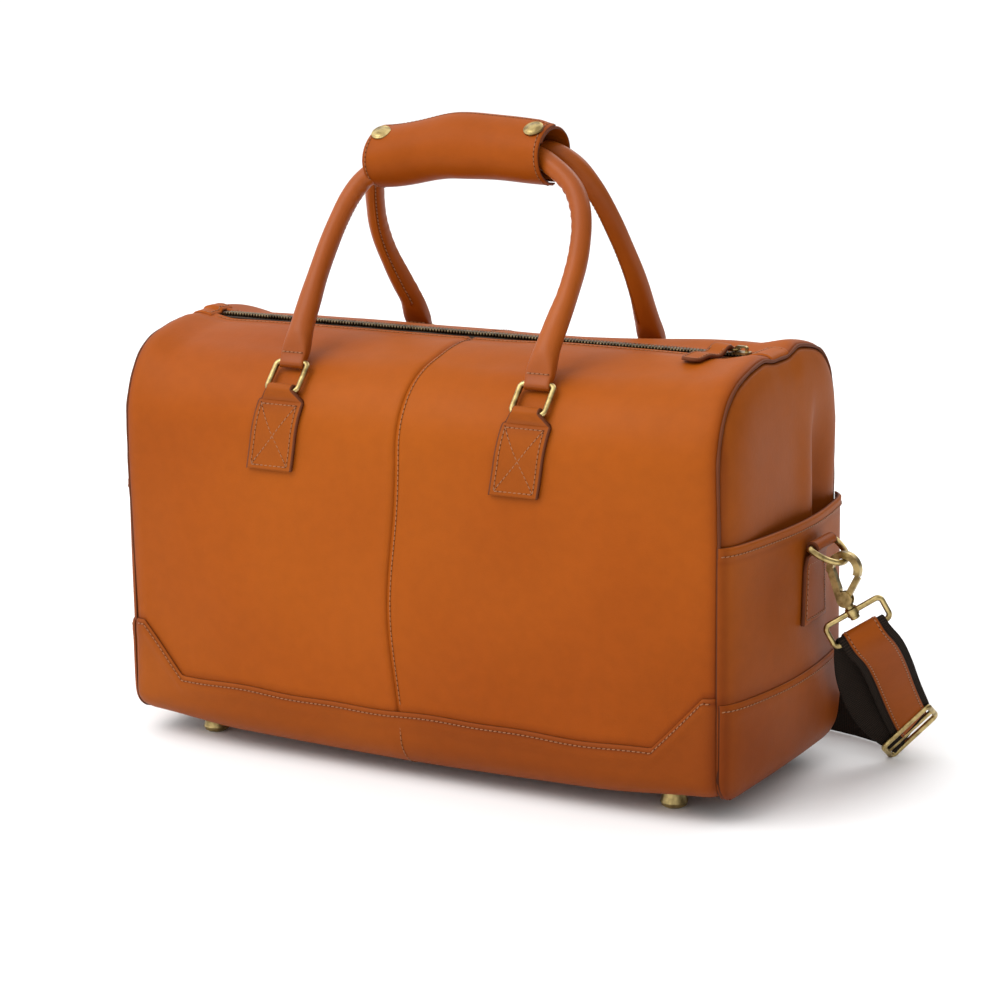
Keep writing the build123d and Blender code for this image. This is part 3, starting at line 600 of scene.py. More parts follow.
def section(s):
    """Depth, height and outward normal of the section at a run s from the middle of the bottom."""
    s = np.asarray(s, float)
    turn = np.clip((s - S_CORNER) / CORNER_R, 0, math.pi / 2) - math.pi / 2
    lift = np.clip((s - S_SHOULDER) / SHOULDER_R, 0, math.pi / 2 - CROWN_LEAN)
    crown = math.pi / 2 - CROWN_LEAN + np.clip(s - S_CROWN, 0, None) / CROWN_R
    angle = np.where(s < S_SHOULDER, turn, np.where(s < S_CROWN, lift, crown))
    ny, nz = np.cos(angle), np.sin(angle)
    y = np.where(s < S_CORNER, s, CORNER_Y + CORNER_R * ny)
    y = np.where(s > S_SHOULDER, SHOULDER_Y + SHOULDER_R * ny, y)
    y = np.where(s > S_CROWN, CROWN_R * ny, y)
    z = np.where(s < S_WALL, CORNER_Z + CORNER_R * nz, CORNER_Z + s - S_WALL)
    z = np.where(s > S_SHOULDER, WALL_TOP + SHOULDER_R * nz, z)
    z = np.where(s > S_CROWN, CROWN_Z + CROWN_R * nz, z)
    return y, z, ny, nz


def run_at_height(z):
    """The run up to a height on the wall or shoulder."""
    z = np.asarray(z, float)
    over = np.arcsin(np.clip((z - WALL_TOP) / SHOULDER_R, 0, 0.98))
    return np.where(z < WALL_TOP, S_WALL + z - CORNER_Z, S_SHOULDER + SHOULDER_R * over)


def seam_wander(s, side):
    """How far the centre seam strays from the middle of the bag; it sags sideways down the front."""
    drift = np.where(np.asarray(side) < 0, -11.0, 0.0) * mound(s, S_WALL + 125.0 - CORNER_Z, 100.0)
    return drift + 1.2 * np.sin(s / 68.0) + 0.6 * np.sin(s / 23.0 + 1.0)


def fullness(x, s, side):
    """How far the soft leather stands out from the plain section."""
    in_front = np.asarray(side) < 0
    near_zip = soft_step(s, S_TOP - 70, S_TOP - 22)
    # the wall's belly, drawn in towards the ends
    out = 3.4 * (1 - (x / 215.0) ** 2) * mound(s, 205.0, 95.0)
    narrow = np.where(in_front, 4.0, 8.5)
    narrow = narrow * (1 - soft_step(s, S_CROWN - 55, S_CROWN + 5)) * soft_step(s, 40, 110)
    out = out - soft_step(np.abs(x), 150, 252) * (narrow + 1.5)
    # the crown is fuller beside the zip towards the right end, and rises at both end seams
    humped = soft_step(s, S_SHOULDER - 10, S_CROWN + 10) * (1 - soft_step(s, S_TOP - 32, S_TOP - 9))
    out = out + np.where(in_front, 4.5, 6.5) * humped * soft_step(x, 60, 215)
    out = out + 6.0 * soft_step(s, S_SHOULDER, S_CROWN + 12) * soft_step(np.abs(x), 212, 248)
    # the front lip of the zip lies lower in its left half
    lip = soft_step(s, S_TOP - 30, S_TOP - 12) * soft_step(-x, -90, -20)
    out = out - np.where(in_front, 2.0, 0.0) * lip
    # the leather rolls over into the end seams
    rolled = np.clip((np.abs(x) - 236) / 14.0, 0, 1)
    out = out - 4.2 * (1 - np.sqrt(1 - np.minimum(rolled, 0.999) ** 2)) * soft_step(s, 30, 100)
    # the centre seam's groove and its folded allowance
    seam = x - seam_wander(s, side)
    out = out - 0.4 * mound(seam, 0.0, 1.1) * soft_step(s, 60, 150) + 0.15 * mound(seam, -4.5, 4.0)
    # slow waves, calmer round the handle patches, which pull the leather in
    calm = 1 - 0.85 * mound(np.abs(x), CHAPE_X, 32.0) * mound(s, 372.0, 45.0)
    waves = 1.5 * ripple(x / 62.0, s / 50.0, 2.0 + side) + 0.8 * ripple(x / 27.0, s / 24.0, 6.0 + side)
    out = out + waves * calm * (1 - near_zip) * soft_step(s, 100, 160)
    out = out - 1.6 * mound(np.abs(x), CHAPE_X, 30.0) * mound(s, 325.0, 22.0)
    # the foot of the wall, and the slight hollow before the zip
    out = out + 3.0 * mound(x, 0.0, 140.45) * (1 - soft_step(s, 80, 150))
    hollow = (1 - near_zip) * mound(s, S_CROWN + 4, 26.0)
    out = out - 1.5 * hollow * (1 + 0.6 * ripple(x / 70.0, 0.0, 9.0 + side))
    return out - 0.5 * near_zip


def on_shell(x, s, side, lift=0.0):
    """A point on the bag's front (-1) or back (1), the given distance outside the leather."""
    x, s = np.broadcast_arrays(np.asarray(x, float), np.asarray(s, float))
    y, z, ny, nz = section(s)
    away = fullness(x, s, side) + lift
    return np.stack([x, side * (y + ny * away), z + nz * away], -1)


def shell_normals(x, s, side):
    x, s = np.broadcast_arrays(np.asarray(x, float), np.asarray(s, float))
    _, _, ny, nz = section(s)
    return np.stack([np.zeros_like(ny), side * ny, nz], -1)


def shell_line(x, s, side, lift):
    return on_shell(x, s, side, lift), shell_normals(x, s, side)


def band_height(x):
    """Height of the base band's top edge, with its slanted corners."""
    climb = np.clip((np.abs(x) - 202.0) / 38.0, 0, 1)
    return 55.0 + 40.0 * climb + 0.9 * np.sin(x / 33.0) + 0.5 * np.sin(x / 13.0)


def panel_shade(side):
    """Painted shade where the leather rolls into the end seams, at the base band's top edge, in the
    centre seam's groove and towards the bottom; darker towards the ends too.
    """
    def amount(x, y, z):
        dark = 0.55 * mound(np.abs(x), 251.0, 5.0)
        dark = dark + 0.5 * mound(z - band_height(x), 0.0, 3.5)
        dark = dark + 0.08 * soft_step(-z, -150, -40) + 0.25 * soft_step(np.abs(x), 150, 250)
        dark = dark + 0.15 * mound(x - seam_wander(z + 90, side), 0.0, 1.2)
        return dark + 0.12 * ripple(x / 60.0, z / 45.0, 4.0 + side) - 0.05
    return amount


SIDES = (("front", -1), ("back", 1))
root_stitches = []
for face, side in SIDES:
    for half, way in (("left", -1), ("right", 1)):
        u = np.concatenate([np.linspace(0, 0.9, 70), np.linspace(0.905, 1, 24)])
        s = np.concatenate([[UNDER_HALF], np.linspace(UNDER_HALF + 2, S_TOP - 11, 120),
                            np.linspace(S_TOP - 10, S_TOP - ZIP_HALF_GAP, 6)])
        ss, uu = np.meshgrid(s, u, indexing="ij")
        xx = way * HALF_LENGTH * uu + seam_wander(ss, side) * (1 - uu) ** 3
        zip_edge = 0.7 * mound(ss, S_TOP - ZIP_HALF_GAP - 2.5, 3.0)
        panel = slab(
            f"{face}_panel_{half}_leather",
            on_shell(xx, ss, side, zip_edge), on_shell(xx, ss, side, -2.2), materials=[TAN, EDGE],
        )
        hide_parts(f"{face}_panel_{half}")
        shade(panel, panel_shade(side))
    # base band over the panels' feet
    v = np.concatenate([[0], np.linspace(0.01, 0.97, 34), [0.985, 1]])
    corner = np.linspace(236, 250, 12)
    x = np.concatenate([-corner[::-1], np.linspace(-234, 234, 150), corner])
    top = run_at_height(band_height(x))
    ss = UNDER_HALF + (top[None, :] - UNDER_HALF) * v[:, None]
    xx = np.broadcast_to(x[None, :], ss.shape)
    puff = 2.3 + 0.8 * mound(ss, top[None, :] - 9.0, 5.0) - 0.7 * mound(ss, top[None, :], 2.4)
    outer, inner = on_shell(xx, ss, side, puff), on_shell(xx, ss, side, 0.1)
    band = slab(f"base_band_{face}_leather", outer, inner)
    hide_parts(f"base_band_{face}")
    # painted shade where the band rolls into the end seams; a darker line along the stitch row and a
    # darker tone overall
    shade(band, lambda x, y, z: 0.30 + 0.4 * mound(z - band_height(x), -3.4, 1.6)
          + 0.4 * mound(np.abs(x), 251.0, 6.0) + 0.15 * ripple(x / 50.0, z / 20.0, 3.0))
    x = np.linspace(-247, 247, 400)
    root_stitches.append(shell_line(x, run_at_height(band_height(x)) - 3.4, side, 2.5))
    # centre seam, sewn down on one side
    s = np.linspace(float(run_at_height(60.0)), S_TOP - 12, 160)
    root_stitches.append(shell_line(seam_wander(s, side) + 3.4, s, side, 0.2))
    s = np.linspace(UNDER_HALF + 4, float(run_at_height(50.0)), 40)
    root_stitches.append(shell_line(seam_wander(s, side) + 3.0, s, side, 2.5))
    # the leather's turned edge along the zip
    x = np.linspace(-228, 228, 300)
    root_stitches.append(shell_line(x, np.full_like(x, S_TOP - 11.5), side, 0.4))

# bottom panel, sagging a little between the feet
x, y = np.linspace(-250, 250, 90), steps(-UNDER_HALF, UNDER_HALF, 30)
yy, xx = np.meshgrid(y, x, indexing="ij")
low = on_shell(xx, np.abs(yy), 1, 2.2)
low[..., 1] = yy
high = low + np.array([0, 0, 2.0])
bottom = slab("bottom_panel_leather", low, high)
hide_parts("bottom_panel")
shade(bottom, lambda x, y, z: 0.45 + 0.15 * ripple(x / 50.0, y / 40.0, 5.0))
for side in (-1, 1):
    x = np.linspace(-246, 246, 300)
    line = on_shell(x, np.full_like(x, UNDER_HALF - 4), side, 2.4)
    root_stitches.append(row(line, (0, 0, -1)))

# ---- the two ends ----
END_OUTLINE = np.concatenate([np.linspace(0, S_TOP, 150), np.linspace(S_TOP, 0, 150)[1:-1]])
END_SIDE = np.concatenate([np.ones(150), -np.ones(148)])


def end_outline(inset, way):
    """The end seam's outline as (depth, height), drawn in by an inset, and its outward normals."""
    y, z, ny, nz = section(END_OUTLINE)
    away = fullness(np.full_like(END_OUTLINE, way * HALF_LENGTH), END_OUTLINE, END_SIDE) - inset
    outline = np.stack([END_SIDE * (y + ny * away), z + nz * away], -1)
    return outline, np.stack([END_SIDE * ny, nz], -1)


FOLD_Y = 47.0


def end_dent(y, z):
    """The upright fold where the end panel sinks behind its pocket."""
    depth = soft_step(-z, -300, -225)
    fold = np.where(y < FOLD_Y, mound(y, FOLD_Y, 8.0), mound(y, FOLD_Y, 24.0))
    ridge = 0.30 * mound(y, FOLD_Y - 20.0, 14.0)
    return depth * (9.5 * fold - 9.0 * ridge)


def end_panel_x(y, z, inward):
    """How far out the end panel stands, by its distance inward from the seam."""
    out = 249.0 + 9.5 * (1 - np.exp(-inward / 11.0)) + 2.2 * (1 - np.exp(-inward / 45.0))
    out = out - end_dent(y, z) * (1 - np.exp(-inward / 14.0))
    return out + 0.9 * ripple(y / 34.0, z / 40.0, 8.0) * (1 - np.exp(-inward / 20.0))


END_INSET = 11.6
END_SHIFT = -2.2
SEAM_X = 250.6


def end_half(z):
    """Half-width of the end at a height, round its bottom corners."""
    drop = np.clip(CORNER_Z - z, 0, CORNER_R)
    corner = CORNER_Y + np.sqrt(np.maximum(CORNER_R ** 2 - drop ** 2, 0))
    return np.where(z > CORNER_Z, CORNER_Y + CORNER_R, corner) - END_INSET


def pocket_x(y, z):
    """How far out the end pocket stands at a place on it."""
    inward = np.clip(end_half(z) - np.abs(y - END_SHIFT), 0, None)
    above = np.clip(z - 16.0, 0, None)
    rounded = (1 - np.exp(-inward / 6.0)) * (1 - np.exp(-above / 7.0))
    full = 1 - np.clip(np.abs(y - 3) / 109.8, 0, 1) ** 2
    belly = 14.6 * full * (1 - np.exp(-above / 14.0))
    sag = 1.6 * mound(z, 172.0, 26.0) * mound(y, -45.0, 34.0) + mound(y, 62.0, 22.0) * mound(z, 150, 60)
    uneven = 0.55 * ripple(y / 26.0, z / 34.0, 12.0) * (1 - mound(y, 15.0, 34.0) * mound(z, 160, 45))
    return SEAM_X + 5.6 * rounded + belly + (uneven - sag) * rounded


def end_rows(z, lift):
    """Rows of points across the end, at heights z and a distance outside the pocket's leather."""
    rim = np.linspace(0.9, 1, 10)
    u = np.concatenate([-rim[::-1], np.linspace(-0.89, 0.89, 70), rim])
    zz, uu = np.meshgrid(z, u, indexing="ij")
    yy = uu * end_half(zz) + END_SHIFT
    return np.stack([pocket_x(yy, zz) + lift, yy, zz], -1)


def mirrored(points, way):
    return np.asarray(points, float) * np.array([way, 1, 1])


def end_row(y, z, lift, way):
    """A line of stitching on an end pocket, standing off its leather."""
    y, z = np.broadcast_arrays(y, z)
    return row(mirrored(np.column_stack([pocket_x(y, z) + lift, y, z]), way), (way, 0, 0))


# Painted shade where the end pieces round over into the end seam.
def rim_shade(y, z):
    return 0.45 * soft_step(np.abs(y) / end_half(z), 0.94, 1.0)


ENDS = (("left", -1), ("right", 1))
for end, way in ENDS:
    outline, _ = end_outline(0.0, way)
    middle = np.array([0.0, 165.0])
    gap = np.linalg.norm(outline - middle, axis=1)
    shares = np.concatenate([[0.012, 0.03, 0.05, 0.075], np.linspace(0.10, 0.96, 40)])
    rings = []
    for share in shares:
        flat = outline + (middle - outline) * share
        out = end_panel_x(flat[:, 0], flat[:, 1], share * gap)
        rings.append(np.column_stack([out, flat]))
    back = [np.column_stack([r[:, 0] - 2.0, r[:, 1:]]) for r in rings[::-1]]
    panel = loft(f"end_panel_{end}_leather", mirrored(rings + back, way), materials=[TAN_DEEP])
    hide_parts(f"end_panel_{end}")
    # painted shade where the panel rounds into the seam, in the upright fold and along the pocket's top
    # edge, where the gap behind the pocket is; a slightly darker tone overall
    shade(panel, lambda x, y, z: 0.16 + 0.5 * soft_step(np.abs(y) / end_half(z), 0.93, 1.0)
          + 0.35 * mound(y, FOLD_Y + 8.0, 20.0) * soft_step(-z, -285, -225)
          + 0.3 * mound(z, 204.0, 10.0) + 0.12 * ripple(y / 40.0, z / 40.0, 2.0))
    # pocket with its folded top edge
    z = np.concatenate([steps(16.0, 194.0, 66), [196, 198, 200, 202, 203.5, 204.6]])
    outer = mirrored(end_rows(z, np.where(z > 196.0, 0.9, 0.0)[:, None]), way)
    inner = mirrored(end_rows(z, -2.2), way)
    pocket = slab(f"end_pocket_{end}_leather", outer, inner, close=0.5)
    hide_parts(f"end_pocket_{end}")
    # painted shade at the rim, along the end band's top edge, under the folded top edge and in the dent
    # of the sag
    shade(pocket, lambda x, y, z: 0.10 + rim_shade(y, z)
          + 0.35 * mound(z, 92.0, 5.0) + 0.2 * mound(z, 194.0, 2.0)
          + 0.25 * mound(y, -45.0, 30.0) * mound(z, 172.0, 30.0)
          + 0.12 * ripple(y / 36.0, z / 36.0, 7.0))
    # end band over the pocket's foot
    z = np.concatenate([[16.2], np.linspace(17.0, 88.0, 34), [89.5, 90.6, 91.4]])
    puff = 2.0 - 0.6 * mound(z, 91.4, 2.0) + 0.5 * mound(z, 83.0, 5.0)
    outer, inner = mirrored(end_rows(z, puff[:, None]), way), mirrored(end_rows(z, 0.1), way)
    band = slab(f"end_band_{end}_leather", outer, inner, close=0.5)
    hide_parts(f"end_band_{end}")
    # painted shade at the rim and towards the floor, on a darker tone
    shade(band, lambda x, y, z: 0.22 + rim_shade(y, z) + 0.3 * soft_step(-z, -32, -16)
          + 0.14 * ripple(y / 30.0, z / 20.0, 9.0))
    y = np.linspace(-104, 98, 160)
    for height, lift in ((87.0, 2.4), (198.6, 1.2)):
        root_stitches.append(end_row(y, height, lift, way))
    # piping in the seam: dark edge leather, darkened further, more towards the bottom, as the painted
    # shade of the seam's groove
    outline, normals = end_outline(0.4, way)
    outward = np.column_stack([np.zeros(len(normals)), normals])
    centre = np.column_stack([np.full(len(outline), SEAM_X), outline])
    k = np.arange(len(outline))
    radius = 1.25 + 0.1 * np.sin(k * 0.9) + 0.08 * np.sin(k * 0.37)
    rings = tube_rings(centre, outward, np.array([[1.0, 0, 0]]), radius, 12)
    piping = loft(f"piping_{end}_leather", mirrored(rings, way), materials=[EDGE], loop=True)
    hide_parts(f"piping_{end}")
    shade(piping, lambda x, y, z: 0.35 + 0.35 * soft_step(-z, -200, -20))

# ---- lining, a loose cloth bag inside the leather ----
LINING_END = 243.5
LINING_SHUT = 0.02


def lining_ring(x, inset, size=1.0):
    """A ring of the lining inside the shell; a small size draws it shut at an end."""
    sunk = 4.5 * soft_step(END_OUTLINE, S_TOP - 12, S_TOP - 8)
    ring = on_shell(np.full_like(END_OUTLINE, x), END_OUTLINE, END_SIDE, -inset - sunk)
    centre = np.array([x, 0, 160.0])
    return centre + (ring - centre) * size


def lining_skin(end, inset):
    rings = [lining_ring(x, inset) for x in np.linspace(-end, end, 60)]
    return [lining_ring(-end, inset, LINING_SHUT)] + rings + [lining_ring(end, inset, LINING_SHUT)]


# the outer face, then the inner one, 0.8 mm inside it
rings = lining_skin(LINING_END, 2.6) + lining_skin(LINING_END - 0.78, 3.4)[::-1]
lining = loft("lining_cloth_bag", rings, materials=[LINING])
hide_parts("lining")

# ---- zip ----
ZIP_HALF_LENGTH = 230.0
TOOTH_PITCH = 2.6
# A tooth's sections away from the middle: depth, half-width, lowest and highest point.
TOOTH_SECTIONS = ((-0.6, 0.55, 320.4, 322.4), (0.3, 0.85, 320.1, 323.0),
                  (2.6, 0.8, 320.0, 323.1), (3.6, 0.6, 320.0, 322.4))
for face, side in SIDES:
    x, y = np.linspace(-ZIP_HALF_LENGTH, ZIP_HALF_LENGTH, 200), np.linspace(0.7, 6.6, 8)
    yy, xx = np.meshgrid(y, x, indexing="ij")
    high = np.stack([xx, side * yy, 319.9 + 0.25 * np.sin(xx / 9.0) * (yy / 6.6) - 0.06 * yy], -1)
    low = high - np.array([0, 0, 0.8])
    tape = slab(f"zip_tape_{face}_woven", high, low, materials=[TAPE, TAPE])
    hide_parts(f"zip_tape_{face}")
    points, faces = [], []
    shift = TOOTH_PITCH / 2 if side > 0 else 0.0
    for x in np.arange(5 - ZIP_HALF_LENGTH + shift, ZIP_HALF_LENGTH - 4, TOOTH_PITCH):
        first = len(points)
        for y, half, low, top in TOOTH_SECTIONS:
            outline = ((-half, low), (half, low), (half, top - 0.25), (half * 0.5, top),
                       (-half * 0.5, top), (-half, top - 0.25))
            points += [(x + dx, side * y, z) for dx, z in outline]
        faces += loft_faces(len(TOOTH_SECTIONS), 6, first=first)
    teeth = make(f"zip_teeth_{face}", points, faces, materials=[DARK_BRASS])
    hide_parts(f"zip_chain_{face}")

for end, way in ENDS:
    x, v = steps(231.5, 250.5, 16), steps(-15.0, 15.0, 22)
    vv, xx = np.meshgrid(v, x, indexing="ij")
    side = np.where(vv < 0, -1.0, 1.0)
    run = S_TOP - np.abs(vv)
    swell = 0.4 * mound(xx, 243.0, 7.0) + 0.4
    outer = on_shell(way * xx, run, side, 0.9 + swell)
    inner = on_shell(way * xx, run, side, -1.6)
    tab = slab(f"zip_end_tab_{end}_leather", outer, inner, materials=[TAN, EDGE], close=0.4)
    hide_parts(f"zip_end_tab_{end}")
    rim_x = np.linspace(234.2, 247.0, 20)
    for x, v in ((234.2, np.linspace(-12.5, 12.5, 30)), (rim_x, -12.5), (rim_x, 12.5)):
        line = on_shell(way * x, S_TOP - np.abs(v), np.where(np.asarray(v) < 0, -1.0, 1.0), 1.45)
        root_stitches.append(row(line, (0, 0, 1)))

# leather pull: out of its ring, over, and down onto the front panel
pull_places = [(214.0, 0.0, 325.5), (211.0, -3.5, 328.2), (208.5, -10.0, 328.8)]
for x, down, lift in ((206.0, 19.0, 2.6), (203.0, 30.0, 2.6), (200.5, 40.0, 2.6), (199.5, 46.0, 4.4)):
    pull_places.append(tuple(on_shell(x, S_TOP - down, -1, lift)))
pull_line = smooth_line(pull_places, 6)
pull_ahead = tangents(pull_line)
pull_across = unit(np.cross(pull_ahead, np.array([0.0, -0.15, 1.0])))
pull_out = np.cross(pull_across, pull_ahead)
pull_out = pull_out * np.sign(pull_out[:, 2:3])
run = np.linspace(0, 1, len(pull_line))
half_width = np.interp(
    run, [0, 0.06, 0.16, 0.3, 0.55, 0.86, 0.95, 1.0], [2.6, 3.4, 3.8, 7.2, 8.0, 7.8, 6.0, 2.4]
)
profile, sides = strip_profile(2.0, -1.3, 1.3, 6, 0.12)
rings = [
    p + a[None, :] * (profile[:, :1] * w) + o[None, :] * profile[:, 1:]
    for p, a, o, w in zip(pull_line, pull_across, pull_out, half_width)
]
pull = loft("zip_pull_tab_leather", rings, "zip_pull", side_parts=sides)
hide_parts("zip_pull_tab")
# stitched round the wide part only
keep = slice(14, -4)
pull_rows = [
    (pull_line[keep] + pull_across[keep] * (k * (half_width[keep] - 1.8))[:, None]
     + pull_out[keep] * 1.35, pull_out[keep])
    for k in (-1, 1)
]
stitch_piece("zip_pull_stitches", pull_rows, "zip_pull", 3.0, 2.1, 0.34)

# ---- handle chapes ----
BAR_Y, BAR_Z = 109.0, 288.0
LOOP_R = 3.45
PATCH_LOW, PATCH_HIGH = 228.0, 280.0
PATCH_RUNS = np.linspace(run_at_height(PATCH_LOW), run_at_height(PATCH_HIGH), 40)
PATCH_SLANT = 9.0


def patch_slant(run):
    """How far the sewn-down patch has slipped towards the left end at a run up the panel."""
    low, high = PATCH_RUNS[[0, -1]]
    return -PATCH_SLANT * np.clip((high - run) / (high - low), 0, 1)


def fold_profile(thick, columns):
    """A chape's section for a half-width of 1, its edges' sides, and the crown over its middle."""
    profile, edges = strip_profile(2.0, -thick / 2, thick / 2, columns, 0.06)
    return profile, edges, 0.35 * (1 - profile[:, 0] ** 2) * (profile[:, 1] > 0)


def chape_rows():
    """The chape's middle line in the bag's section, as (depth, height), and its half-widths."""
    y, z, ny, nz = section(PATCH_RUNS)
    flat = np.stack([y + ny * 1.9, z + nz * 1.9], 1)
    turn = np.radians(np.linspace(-18, 196, 22))
    base = math.atan2(nz[-1], ny[-1])
    loop = np.stack([BAR_Y + LOOP_R * np.cos(base + turn), BAR_Z + LOOP_R * np.sin(base + turn)], 1)
    under = flat[-1] * 0.5 + loop[-1] * 0.5 - 1.2 * np.array([ny[-1], nz[-1]])
    line = np.concatenate([flat, loop, [under]])
    half = np.concatenate([np.full(38, 19.6), [19.2, 18.0, 12.0], np.full(22, 10.6)])
    return line, half


chape_line, chape_half = chape_rows()
chape_ahead = tangents(chape_line)
chape_out = np.stack([chape_ahead[:, 1], -chape_ahead[:, 0]], 1)
profile, edges, crown = fold_profile(2.4, 12)
for face, side in SIDES:
    for end, way in ENDS:
        middle = way * CHAPE_X
        rings = []
        for k, (point, out, wide) in enumerate(zip(chape_line, chape_out, chape_half)):
            x = middle + profile[:, 0] * wide
            swell = 0.0
            if k < len(PATCH_RUNS):
                x = x + patch_slant(PATCH_RUNS[k])
                swell = fullness(x, PATCH_RUNS[k], side) * np.interp(k, [34, 39], [1, 0.3])
            away = profile[:, 1] * 1.15 + crown + swell
            depth, height = point[:, None] + out[:, None] * away
            rings.append(np.column_stack([x, side * depth, height]))
        name = f"handle_chape_{face}_{end}"
        chape = loft(f"{name}_leather", rings, side_parts=edges)
        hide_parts(name)
        shade(chape, lambda x, y, z: 0.12 + 0.25 * mound(z, 280.0, 6.0))
        # a box of stitches with a cross in it
        low, high = float(run_at_height(PATCH_LOW + 3.2)), float(run_at_height(PATCH_HIGH - 4.0))
        s = np.linspace(low, high, 30)
        across = np.linspace(-15.6, 15.6, 20)
        slope = np.linspace(-15.6, 15.6, 30)
        for x, run in ((-15.6, s), (15.6, s), (across, low), (across, high), (slope, s), (-slope, s)):
            root_stitches.append(shell_line(middle + x + patch_slant(run), run, side, 3.45))

# ---- rolled handles ----
RING_TOP = np.array([0, 92.31, 306.21])
HANDLE_UP = np.array([0, -0.47189, 0.88166])
TUBE_R = 7.5
CORE_R = 4.2
# Places on each handle's own leaning plane: across the bag, and up from the ring bars.
HANDLE_LINES = {
    "front": [
        (-104, -4.5), (-104, 8), (-104, 26), (-103, 45), (-101.3, 72), (-98.5, 96), (-94.7, 116.4),
        (-89.8, 133), (-82.2, 147), (-70, 158), (-52, 166.5), (-20, 172.5), (25, 174.4),
        (57, 173.5), (77.4, 164), (94, 151.5), (103.9, 136.9), (109, 122.4), (111.4, 107.9),
        (112.4, 93.3), (111.9, 78.7), (110.5, 64), (108.2, 49.3), (104.8, 26), (104, 8), (104, -4.5),
    ],
    "back": [
        (-104, -4.5), (-104, 8), (-104, 26), (-107.6, 43.2), (-110.9, 61.5), (-112.9, 79.9),
        (-112.5, 98), (-109.9, 114), (-105, 133.9), (-98, 151.4), (-82, 168.2), (-60, 174.4),
        (-20, 174.4), (20, 174.4), (50, 175), (64.9, 173), (78, 163), (86.5, 147), (93, 128.6),
        (98.5, 101.4), (102.4, 73.6), (104, 50), (104, 26), (104, 8), (104, -4.5),
    ],
}


def handle_rings(places):
    """A back handle's rings, its line, the directions across it, its reach and its girth.

    The reach is the run from the nearer end of the stitched-down leather, and the girth is the
    distance from the line to the seam.
    """
    flat = smooth_line([(a, b, 0) for a, b in places], 7)
    line = RING_TOP + flat[:, :1] * np.array([1.0, 0, 0]) + flat[:, 1:2] * HANDLE_UP
    ahead = tangents(line)
    plane = np.cross([1.0, 0, 0], HANDLE_UP)
    inward = unit(np.cross(ahead, plane))
    run = run_along(line)
    reach = np.minimum(run, run[-1] - run) - 4.5
    wide = np.interp(reach, [-4.5, 3.5, 6.5, 20, 40, 65, 95], [10.3, 10.3, 11.0, 10.2, 9.0, 8.0, 7.5])
    thick = np.interp(reach, [3.5, 6.5, 14, 22, 40, 65, 95], [3.9, 4.3, 6.4, 8.0, 8.4, 7.9, 7.5])
    below = np.sqrt(np.clip(4.55 ** 2 - np.clip(-reach, 0, 4.54) ** 2, 0.04, None))
    thick = np.where(reach < 3.5, np.minimum(np.maximum(thick, 3.9), below), thick)
    boxy = np.interp(reach, [3.5, 11, 24], [0.35, 0.5, 1.0])
    bend = np.linalg.norm(np.gradient(ahead, axis=0), axis=1) / np.maximum(np.gradient(run), 1e-6)
    bend = np.convolve(bend, np.ones(5) / 5, "same") * (reach > 30)
    turn = np.linspace(0, 2 * math.pi, 28, endpoint=False)
    c, s = np.cos(turn), np.sin(turn)
    inner = np.clip(c, 0, 1) ** 2
    rings = []
    for k in range(len(line)):
        a = np.sign(c) * np.abs(c) ** boxy[k] * wide[k]
        b = np.sign(s) * np.abs(s) ** boxy[k] * thick[k]
        crease = 26.0 * bend[k] * inner * math.sin(run[k] / 1.35)
        uneven = 0.12 * math.sin(run[k] / 7.0) + 0.10 * np.sin(3 * turn + run[k] / 16.0)
        grow = 1 + (uneven - crease) / TUBE_R * (reach[k] > 24)
        rings.append(line[k] + inward[k] * (a * grow)[:, None] + plane * (b * grow)[:, None])
    return np.array(rings), line, inward, plane, reach, np.hypot(0.55 * wide, 0.84 * thick)


for face, side in SIDES:
    rings, line, inward, plane, reach, girth = handle_rings(HANDLE_LINES[face])
    flip = np.array([1, side, 1])
    body = f"{face}_handle"
    handle = loft(f"handle_{face}_leather", rings * flip, body, materials=[ROLLED])
    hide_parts(f"handle_{face}")
    inside = reach > 16
    rings = tube_rings(line[inside], inward[inside], plane[None, :], CORE_R, 14)
    core = loft(f"handle_core_{face}_rope", rings * flip, body, [ROPE])
    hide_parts(f"handle_core_{face}")
    shade(handle, lambda x, y, z: 0.10 + 0.35 * soft_step(-z, -345, -305)
          + 0.15 * ripple(x / 22.0, z / 30.0, 3.0))
    # the seam runs up the inside of the roll, towards the other handle
    seam = unit(inward * 0.55 + plane * 0.84)
    keep = reach > 24
    seam_line = (line + seam * (girth + 0.15)[:, None])[keep] * flip
    rows = [(seam_line, seam[keep] * flip)]
    for end_x in (-CHAPE_X, CHAPE_X):
        base = RING_TOP + HANDLE_UP * 6.5 + np.linspace([end_x - 9.4, 0, 0], [end_x + 9.4, 0, 0], 12)
        for out in (-plane, plane):
            rows.append(row((base + out * 4.4) * flip, out * flip))
    stitch_piece(f"handle_{face}_stitches", rows, body, 3.6)
    # ridge of the seam's turned edge
    beside = unit(np.cross(seam, tangents(line)))
    ridge = line + seam * (girth - 0.5)[:, None] + beside * 1.3
    rings = tube_rings(ridge[keep], seam[keep], beside[keep], 0.9, 8)
    loft(f"handle_{face}_seam", rings * flip, body, materials=[TAN_DEEP])

# ---- handle wrap ----
WRAP_Z = 459.5
WRAP_X, WRAP_HALF = -4.0, 73.0
BACK_DROOP, FLAP_DROOP = 0.55, 1.0


